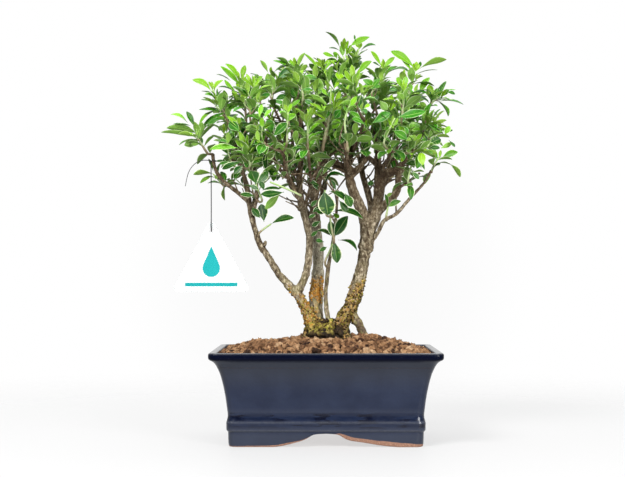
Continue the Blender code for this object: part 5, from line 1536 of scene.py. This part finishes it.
def leaf_blades(leaves, seed):
    """Leaves as thin closed shells, all at once: a flat diamond of four points carried along a
    bowed midrib, as wide as a stretched sine, its halves folded up and its margin a little wavy.
    """
    draw = np.random.default_rng(seed)
    base, tip, face, width, bow, youth = (np.array(part) for part in zip(*leaves))
    count = len(leaves)
    heading = unit(tip - base)
    face = unit(face - heading * (face * heading).sum(-1, keepdims=True))
    across = np.cross(face, heading)
    s = LEAF_ROWS[None, :, None]
    t = LEAF_COLUMNS[None, None, :]
    blade = np.clip((s - LEAF_STALK) / (1 - LEAF_STALK), 0, 1)
    bulge = draw.uniform(1.0, 1.4, (count, 1, 1))
    half = width[:, None, None] / 2 * np.sin(math.pi * blade ** bulge) ** LEAF_FULLNESS
    half = np.maximum(half, STALK_RADIUS)
    fold = np.radians(draw.uniform(*LEAF_FOLD, (count, 1, 1)))
    twist = draw.normal(0, LEAF_TWIST, (count, 1, 1)) * (s - 0.4)
    wave = MARGIN_WAVE * half * np.sin(s * draw.uniform(4, 9, (count, 1, 1)) + bulge * 40)
    sideways = t * half * np.cos(fold)
    lift = np.abs(t) * half * np.sin(fold) + wave * t + LEAF_SIDES * LEAF_THICKNESS / 2
    x = sideways * np.cos(twist) - lift * np.sin(twist)
    z = sideways * np.sin(twist) + lift * np.cos(twist)
    curve = 4 * s * (1 - s)
    spine = (base[:, None, None] + (tip - base)[:, None, None] * s[..., None]
             + bow[:, None, None] * curve[..., None])
    points = spine + across[:, None, None] * x[..., None] + face[:, None, None] * z[..., None]
    rows, columns = len(LEAF_ROWS), len(LEAF_COLUMNS)
    points = np.concatenate([points.reshape(count, -1, 3), np.stack([base, tip], 1)], 1)
    each = rows * columns + 2
    shift = (np.arange(count) * each)[:, None, None]
    quads = grid_faces(rows, columns)[None] + shift
    fans = end_fans(rows, columns, each - 2, each - 1)[None] + shift
    in_each = {"across": np.append(np.tile(LEAF_COLUMNS, rows), (0.0, 0.0)),
               "down_leaf": np.append(np.repeat(LEAF_ROWS, columns), (0.0, 1.0)),
               "under": np.append(np.tile(LEAF_SIDES < 0, rows), (0.0, 0.0))}
    own = np.clip(youth + draw.normal(0, YOUTH_PLAY, count), 0, 1)
    low = np.clip((300 - base[:, 2]) / 60, 0.3, 1)
    margin = np.where(own < YOUNG_FROM, low * draw.uniform(0.7, 1.0, count), YOUNG_MARGIN)
    # Random brightness times painted light and shade by height.
    tint = draw.uniform(*TINT_PLAY, count) * np.interp(base[:, 2], PAINTED_LIGHT_HEIGHTS, PAINTED_LIGHT_BY_HEIGHT)
    of_each = {"youth": own, "tint": tint, "margin": margin}
    return Surface(points, quads, fans,
                   **{name: np.tile(value, count) for name, value in in_each.items()},
                   **{name: np.repeat(value, each) for name, value in of_each.items()})


def inner_twigs():
    """Short side twigs off every limb in the crown as (route, leafy), so that it closes up."""
    draw = random.Random(77)
    twigs = []
    for _, _, points in LIMBS:
        route = smooth_route(points, INNER_STEP)
        for place, ahead in zip(route, route[1:]):
            if place[2] < INNER_FROM or draw.random() < INNER_LEFT_OUT:
                continue
            axis = unit(ahead - place)
            out = (place - CROWN_CENTRE) * INNER_OUTWARD
            turn = draw.uniform(0, math.tau)
            heading = turned(beside(axis), axis, turn) + axis * draw.uniform(0.2, 1.0)
            heading = unit(heading + out + UP * draw.uniform(-0.1, 0.5))
            long = draw.uniform(*INNER_LENGTH)
            kink = np.array([draw.gauss(0, 0.12) for _ in range(3)]) * long
            tip = place + heading * long + UP * long * 0.2
            middle = (place + tip) / 2 + kink
            lowest = np.interp(tip[0], LEAVES_FROM_X, LEAVES_FROM_Z)
            inside = (((tip - CROWN_CENTRE) / CROWN_REACH) ** 2).sum() < 0.8
            if inside and tip[2] > lowest - INNER_BELOW_LEAVES:
                leafy = tip[2] > lowest and draw.random() < INNER_LEAFY
                twigs.append((smooth_route([place, middle, tip], INNER_STEP), leafy))
    return twigs


def from_limb(stem, samples):
    """A stem's points with the nearest place on a limb, best one below, put before them."""
    far = [float(np.linalg.norm(stem[0] - place) + 0.6 * max(0.0, place[2] - stem[0][2]))
           for place, *_ in samples]
    start = samples[int(np.argmin(far))][0]
    return [start, start * 0.45 + stem[0] * 0.55 - UP * 2.0] + stem


def side_twig(route, draw):
    """Five points of a short twig off a shoot, reaching up and out but not above its tip."""
    start, axis = along(route, length_of(route) * draw.uniform(0.3, 0.75))
    heading = turned(beside(axis), axis, draw.uniform(0, math.tau))
    heading = unit(heading * 1.1 + axis + UP * 0.2)
    long = min(draw.uniform(*SIDE_TWIG_LENGTH), max(6.0, (route[-1][2] - 12 - start[2])))
    share = np.linspace(0, 1, 5)[:, None]
    return start + heading * long * share + UP * long * 0.15 * share ** 2


def make_shoots(leaf, stem):
    """Every leafy shoot: a green twig with its leaves, as photographed where it is at the front,
    and with side twigs where the crown is thick."""
    samples = branch_samples()
    taken = []
    for number, shoot in enumerate(SHOOTS):
        route = shoot_route(shoot, samples, taken)
        depth = shoot[1][1]
        draw = random.Random(number)
        if number in FRONT_LEAVES:
            stem_points = [seen_at(*pixel, depth) for pixel in FRONT_LEAVES[number][0]]
            route = smooth_route(from_limb(stem_points, samples), TWIG_STEP)
            leaves = front_leaves(number, depth, draw)
            pairs = BEHIND_FRONT_PAIRS if stem_points[-1][2] > LOW_SHOOT_TOP else 0
            leaves += leaves_along(route, draw, pairs, **BEHIND_FRONT)
        else:
            leaves = leaves_along(route, draw, **GROWN)
        twigs = []
        crowded = depth > CROWDED_DEPTH and route[-1][2] > CROWDED_HEIGHT
        for _ in range(SIDE_TWIGS if crowded else 0):
            side = side_twig(route, draw)
            twigs.append(rod(side, np.linspace(*SIDE_TWIG_RADII, 5), 5))
            leaves += leaves_along(side, draw, **ON_SIDE_TWIG)
        fine = smooth_route(route, 3.0)
        share = np.linspace(0, 1, len(fine))
        thick = MAIN_STEM if number == MAIN_STEM_SHOOT else TWIG_BASE
        radii = thick + (TWIG_TIP - thick) * share ** 2 + 0.12 * np.sin(share * 25) ** 8
        twigs.insert(0, rod(fine, radii, 8))
        name = f"shoot_{number + 1:02d}"
        make_piece(f"leafy_{name}", [leaf_blades(leaves, 200 + number), twigs],
                   [leaf, stem], [name], LEAF_SMOOTH_UNDER)


def make_inner_crown(leaf, stem, bark):
    """The crown's inside: bare and leafy side twigs in the shade of the outer shoots."""
    draw = random.Random(99)
    bare, green, leaves = [], [], []
    for route, leafy in inner_twigs():
        radii = INNER_RADIUS - INNER_TAPER * np.linspace(0, 1, len(route))
        (green if leafy else bare).append(rod(route, radii, 5))
        if leafy:
            high = min(1.0, max(0.0, (route[-1][2] - 240) / 90))
            leaves += leaves_along(route, draw, pairs=draw.choice((1, 1, 2)),
                                   tuft=draw.choice((2, 3)), youth=(0.1, 0.35 + 0.45 * high),
                                   **IN_CROWN)
    make_piece("inner_crown", [leaf_blades(leaves, 400), green], [leaf, stem],
               smooth_under=LEAF_SMOOTH_UNDER)
    make_piece("inner_twigs", [bare], [bark])


# The tag and its wire.

TAG_Y = -16.0
TAG_APEX = (-105.0, 204.0)
TAG_HOLE = 193.0
# The print on the tag: a bar's height and half its size, and a drop's round foot and its cone.
BAR_HEIGHT = 143.0
BAR_HALF_WIDTH = 24.0
BAR_HALF_HEIGHT = 1.6
DROP_HEIGHT = 158.0
DROP_RADIUS = 8.0
CONE_FROM = 3.2
CONE_HALF_WIDTH = 8.8
CONE_TAPER = 0.44
WIRE_RADIUS = 0.45
WIRE_HOOK = 1.8
WIRE_TOP = (-103.3, -14.7, 257.0)
WIRE_RING = 2.6
WIRE_RING_TURN = 300
WIRE_RING_START = -100
WIRE_RING_STEPS = 10
WIRE_RING_DROP = 1.2
WIRE_STEP = 3.0
HOOK_STEPS = 4
HOOK_END = 5.0
# The pixels that the wire's other end runs through.
TAIL_PIXELS = [(212, 161), (207, 160), (200, 160.5), (193, 165), (188, 173), (185, 186)]


def wire_route():
    """The wire's middle line: once round the branch, down, and hooked through the tag's hole."""
    x, y, z = WIRE_TOP
    route = []
    for step in range(WIRE_RING_STEPS + 1):
        share = step / WIRE_RING_STEPS
        angle = math.radians(WIRE_RING_START + WIRE_RING_TURN * share)
        route.append((x + WIRE_RING * math.cos(angle), y + WIRE_RING * math.sin(angle),
                      z - WIRE_RING_DROP * share))
    front = TAG_Y - WIRE_HOOK
    bend = TAG_HOLE + 0.4
    apex_x = TAG_APEX[0]
    route += [(x - 2.2, y - 2.6, z - 3.5), (x - 2.0, front + 0.3, z - 8.0),
              (x - 1.8, front + 0.2, z - 24.0), (x - 1.7, front, z - 44.0),
              (apex_x, front, bend + 8.0), (apex_x, front, bend)]
    for step in range(1, HOOK_STEPS + 1):
        angle = math.pi + math.pi * step / HOOK_STEPS
        route.append((apex_x, TAG_Y + WIRE_HOOK * math.cos(angle),
                      bend + WIRE_HOOK * math.sin(angle)))
    route.append((apex_x, TAG_Y + WIRE_HOOK, bend + HOOK_END))
    return route


def make_wire(black, tag):
    """The black wire, a round curve along its route, with the tag on it. The tag passed in is not
    used.
    """
    route = smooth_route(wire_route(), WIRE_STEP)
    curve = bpy.data.curves.new("hanging_wire", "CURVE")
    curve.dimensions = "3D"
    curve.bevel_depth = WIRE_RADIUS * MM
    curve.bevel_resolution = 4
    curve.use_fill_caps = True
    spline = curve.splines.new("POLY")
    spline.points.add(len(route) - 1)
    places = np.ones((len(route), 4))
    places[:, :3] = (route + POT_PLACE) * MM
    spline.points.foreach_set("co", places.ravel())
    curve.materials.append(black)
    wire = bpy.data.objects.new("hanging_wire", curve)
    bpy.context.scene.collection.objects.link(wire)
    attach(wire, "root")
    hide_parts("tag_wire")
    return wire


def make_wire_tail(black):
    """The wire's other end, which stands off the branch in a thin arc."""
    route = smooth_route([seen_at(*pixel, WIRE_TOP[1] - 0.8) for pixel in TAIL_PIXELS], WIRE_STEP)
    radii = np.linspace(WIRE_RADIUS, 0.6 * WIRE_RADIUS, len(route))
    return make_piece("wire_tail", [rod(route, radii, 10)], [black])


def tag_finish():
    """White plastic card with a plain teal drop and a plain teal bar printed on the front; its
    back is painted lighter, as painted light on the side that the lamps reach less.
    """
    material, tree, _ = new_finish("tag_card", 0.4, specular=0.2)
    x, y, z = coordinates(tree)
    middle = TAG_APEX[0] + float(POT_PLACE[0])
    side = reckon(tree, "ABSOLUTE", reckon(tree, "SUBTRACT", x, middle))
    off_bar = reckon(tree, "ABSOLUTE", reckon(tree, "SUBTRACT", z, BAR_HEIGHT))
    bar = times(tree, reckon(tree, "LESS_THAN", off_bar, BAR_HALF_HEIGHT),
                reckon(tree, "LESS_THAN", side, BAR_HALF_WIDTH))
    rise = reckon(tree, "SUBTRACT", z, DROP_HEIGHT)
    square = plus(tree, times(tree, side, side), times(tree, rise, rise))
    bowl = reckon(tree, "LESS_THAN", square, DROP_RADIUS ** 2)
    slope = reckon(tree, "MULTIPLY_ADD", rise, -CONE_TAPER, CONE_HALF_WIDTH)
    cone = times(tree, reckon(tree, "LESS_THAN", side, slope),
                 reckon(tree, "GREATER_THAN", rise, CONE_FROM))
    drop = reckon(tree, "MAXIMUM", bowl, cone)
    front = reckon(tree, "LESS_THAN", y, TAG_Y + float(POT_PLACE[1]))
    print_area = times(tree, reckon(tree, "MAXIMUM", bar, drop), front)
    tone, grain = mottle(tree, position(tree), 40.0, 2500.0)
    card = ramp(tree, tone, [(0.2, (0.53, 0.562, 0.562)), (0.8, (0.55, 0.58, 0.58))])
    # Painted light: the card's back is drawn lighter than its front.
    card = blend_colours(tree, front, (0.82, 0.85, 0.85), card)
    ink = ramp(tree, tone, [(0.2, (0.006, 0.25, 0.255)), (0.8, (0.01, 0.29, 0.295))])
    return painted(material, blend_colours(tree, print_area, card, ink), grain, 0.00004)


# Floor, light and background, in metres.

FLOOR_RADIUS = 3.0
FLOOR_GREY = 0.17
FLOOR_GLOW = 0.61
FLOOR_FADE = (0.15, 0.9)
FLOOR_SIDES = 96
# The studio: how bright it is, how dark, and where it turns bright, from 1 to -1, towards the
# back, overhead and below.
STUDIO_BRIGHT = 0.62
STUDIO_DARK = 0.05
AHEAD = (-0.45, 0.35)
OVERHEAD = (0.3, 0.75)
OVERHEAD_SHARE = 0.8
BENEATH = (-0.12, 0.0)
# How bright the plain background is in the middle of the picture and at its edge.
BACKGROUND = (0.955, 1.0)
BACKGROUND_REACH = 0.012
LIGHT_TARGET = (0.0, 0.0, 0.2)
# Each light's place, the length of its side, and its power.
LIGHTS = {
    "key": ((-0.8, -1.2, 1.35), 0.7, 48),
    "fill": ((0.9, -1.3, 0.5), 0.6, 27),
    "top": ((0.1, 0.4, 1.6), 1.2, 10),
}


def make_floor():
    """A pale floor, lit from below like a light table, that fades into the background."""
    bpy.ops.mesh.primitive_circle_add(vertices=FLOOR_SIDES, radius=FLOOR_RADIUS, fill_type="NGON")
    floor = bpy.context.object
    floor.name = "floor"
    material, tree, shader = new_finish("pale_floor", 0.55, specular=0.2)
    reach = add(tree, "VectorMath", {0: position(tree)}, operation="LENGTH").outputs["Value"]
    fed(tree, shader, {"Base Color": (FLOOR_GREY, FLOOR_GREY, FLOOR_GREY, 1.0),
                       "Emission Color": (1.0, 1.0, 1.0, 1.0), "Emission Strength": FLOOR_GLOW,
                       "Alpha": between(tree, reach, *FLOOR_FADE, 1.0, 0.0)})
    floor.data.materials.append(material)


def make_world():
    """A white studio: bright all round and from above, darker behind the camera, and plain white
    where the camera sees it."""
    world = bpy.data.worlds.new("studio")
    bpy.context.scene.world = world
    world.use_nodes = True
    tree = world.node_tree
    tree.nodes.clear()
    white = (1.0, 1.0, 1.0, 1.0)
    parts = add(tree, "SeparateXYZ", {0: add(tree, "TexCoord").outputs["Generated"]}).outputs
    ahead = between(tree, parts[1], *AHEAD)
    overhead = times(tree, between(tree, parts[2], *OVERHEAD), OVERHEAD_SHARE)
    beneath = between(tree, parts[2], *BENEATH, 1.0, 0.0)
    bright = reckon(tree, "MAXIMUM", ahead, reckon(tree, "MAXIMUM", overhead, beneath))
    strength = reckon(tree, "MULTIPLY_ADD", bright, STUDIO_BRIGHT, STUDIO_DARK)
    light = add(tree, "Background", {"Color": white, "Strength": strength})
    off_axis = reckon(tree, "ABSOLUTE", reckon(tree, "SUBTRACT", 1.0, parts[1]))
    shade = between(tree, off_axis, 0.0, BACKGROUND_REACH, *BACKGROUND)
    plain = add(tree, "Background", {"Color": white, "Strength": shade})
    to_camera = add(tree, "LightPath").outputs["Is Camera Ray"]
    mix = add(tree, "MixShader", {0: to_camera, 1: light.outputs[0], 2: plain.outputs[0]})
    fed(tree, add(tree, "OutputWorld"), {"Surface": mix.outputs[0]})


def make_light(name, place, size, power):
    """A square soft light aimed at the middle of the tree."""
    data = bpy.data.lights.new(name, "AREA")
    data.energy = power
    data.size = size
    light = bpy.data.objects.new(name, data)
    light.location = place
    away = np.array(place) - LIGHT_TARGET
    flat = math.hypot(away[0], away[1])
    light.rotation_euler = (math.atan2(flat, away[2]), 0, math.atan2(away[0], -away[1]))
    bpy.context.scene.collection.objects.link(light)


def keep_mesh(node, material):
    """Give a node of the frame, which keeps its own mesh, its finish."""
    node.data.materials.clear()
    node.data.materials.append(material)
    return node


def build():
    """Every piece of the bonsai, its stage and its light."""
    black = dark_plastic_finish("black_wire", 0.4)
    make_wire(black, keep_mesh(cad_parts["tag"], tag_finish()))
    make_wire_tail(black)
    make_pot(glaze_finish())
    make_grit(grit_finish())
    lattice = dark_plastic_finish("lattice_plastic", 0.55)
    make_drainage_mesh(-1, "drainage_mesh_left", lattice)
    make_drainage_mesh(1, "drainage_mesh_right", lattice)
    keep_mesh(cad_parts["soil"], soil_finish())
    bark = bark_finish()
    moss = moss_finish()
    make_moss(moss)
    make_crust(moss, *make_trunks(bark))
    make_fine_branches(bark)
    leaf = leaf_finish()
    stem = twig_finish()
    make_shoots(leaf, stem)
    make_inner_crown(leaf, stem, bark)
    make_floor()
    make_world()
    for name, light in LIGHTS.items():
        make_light(name, *light)
    bpy.context.scene.view_settings.view_transform = "Standard"


build()
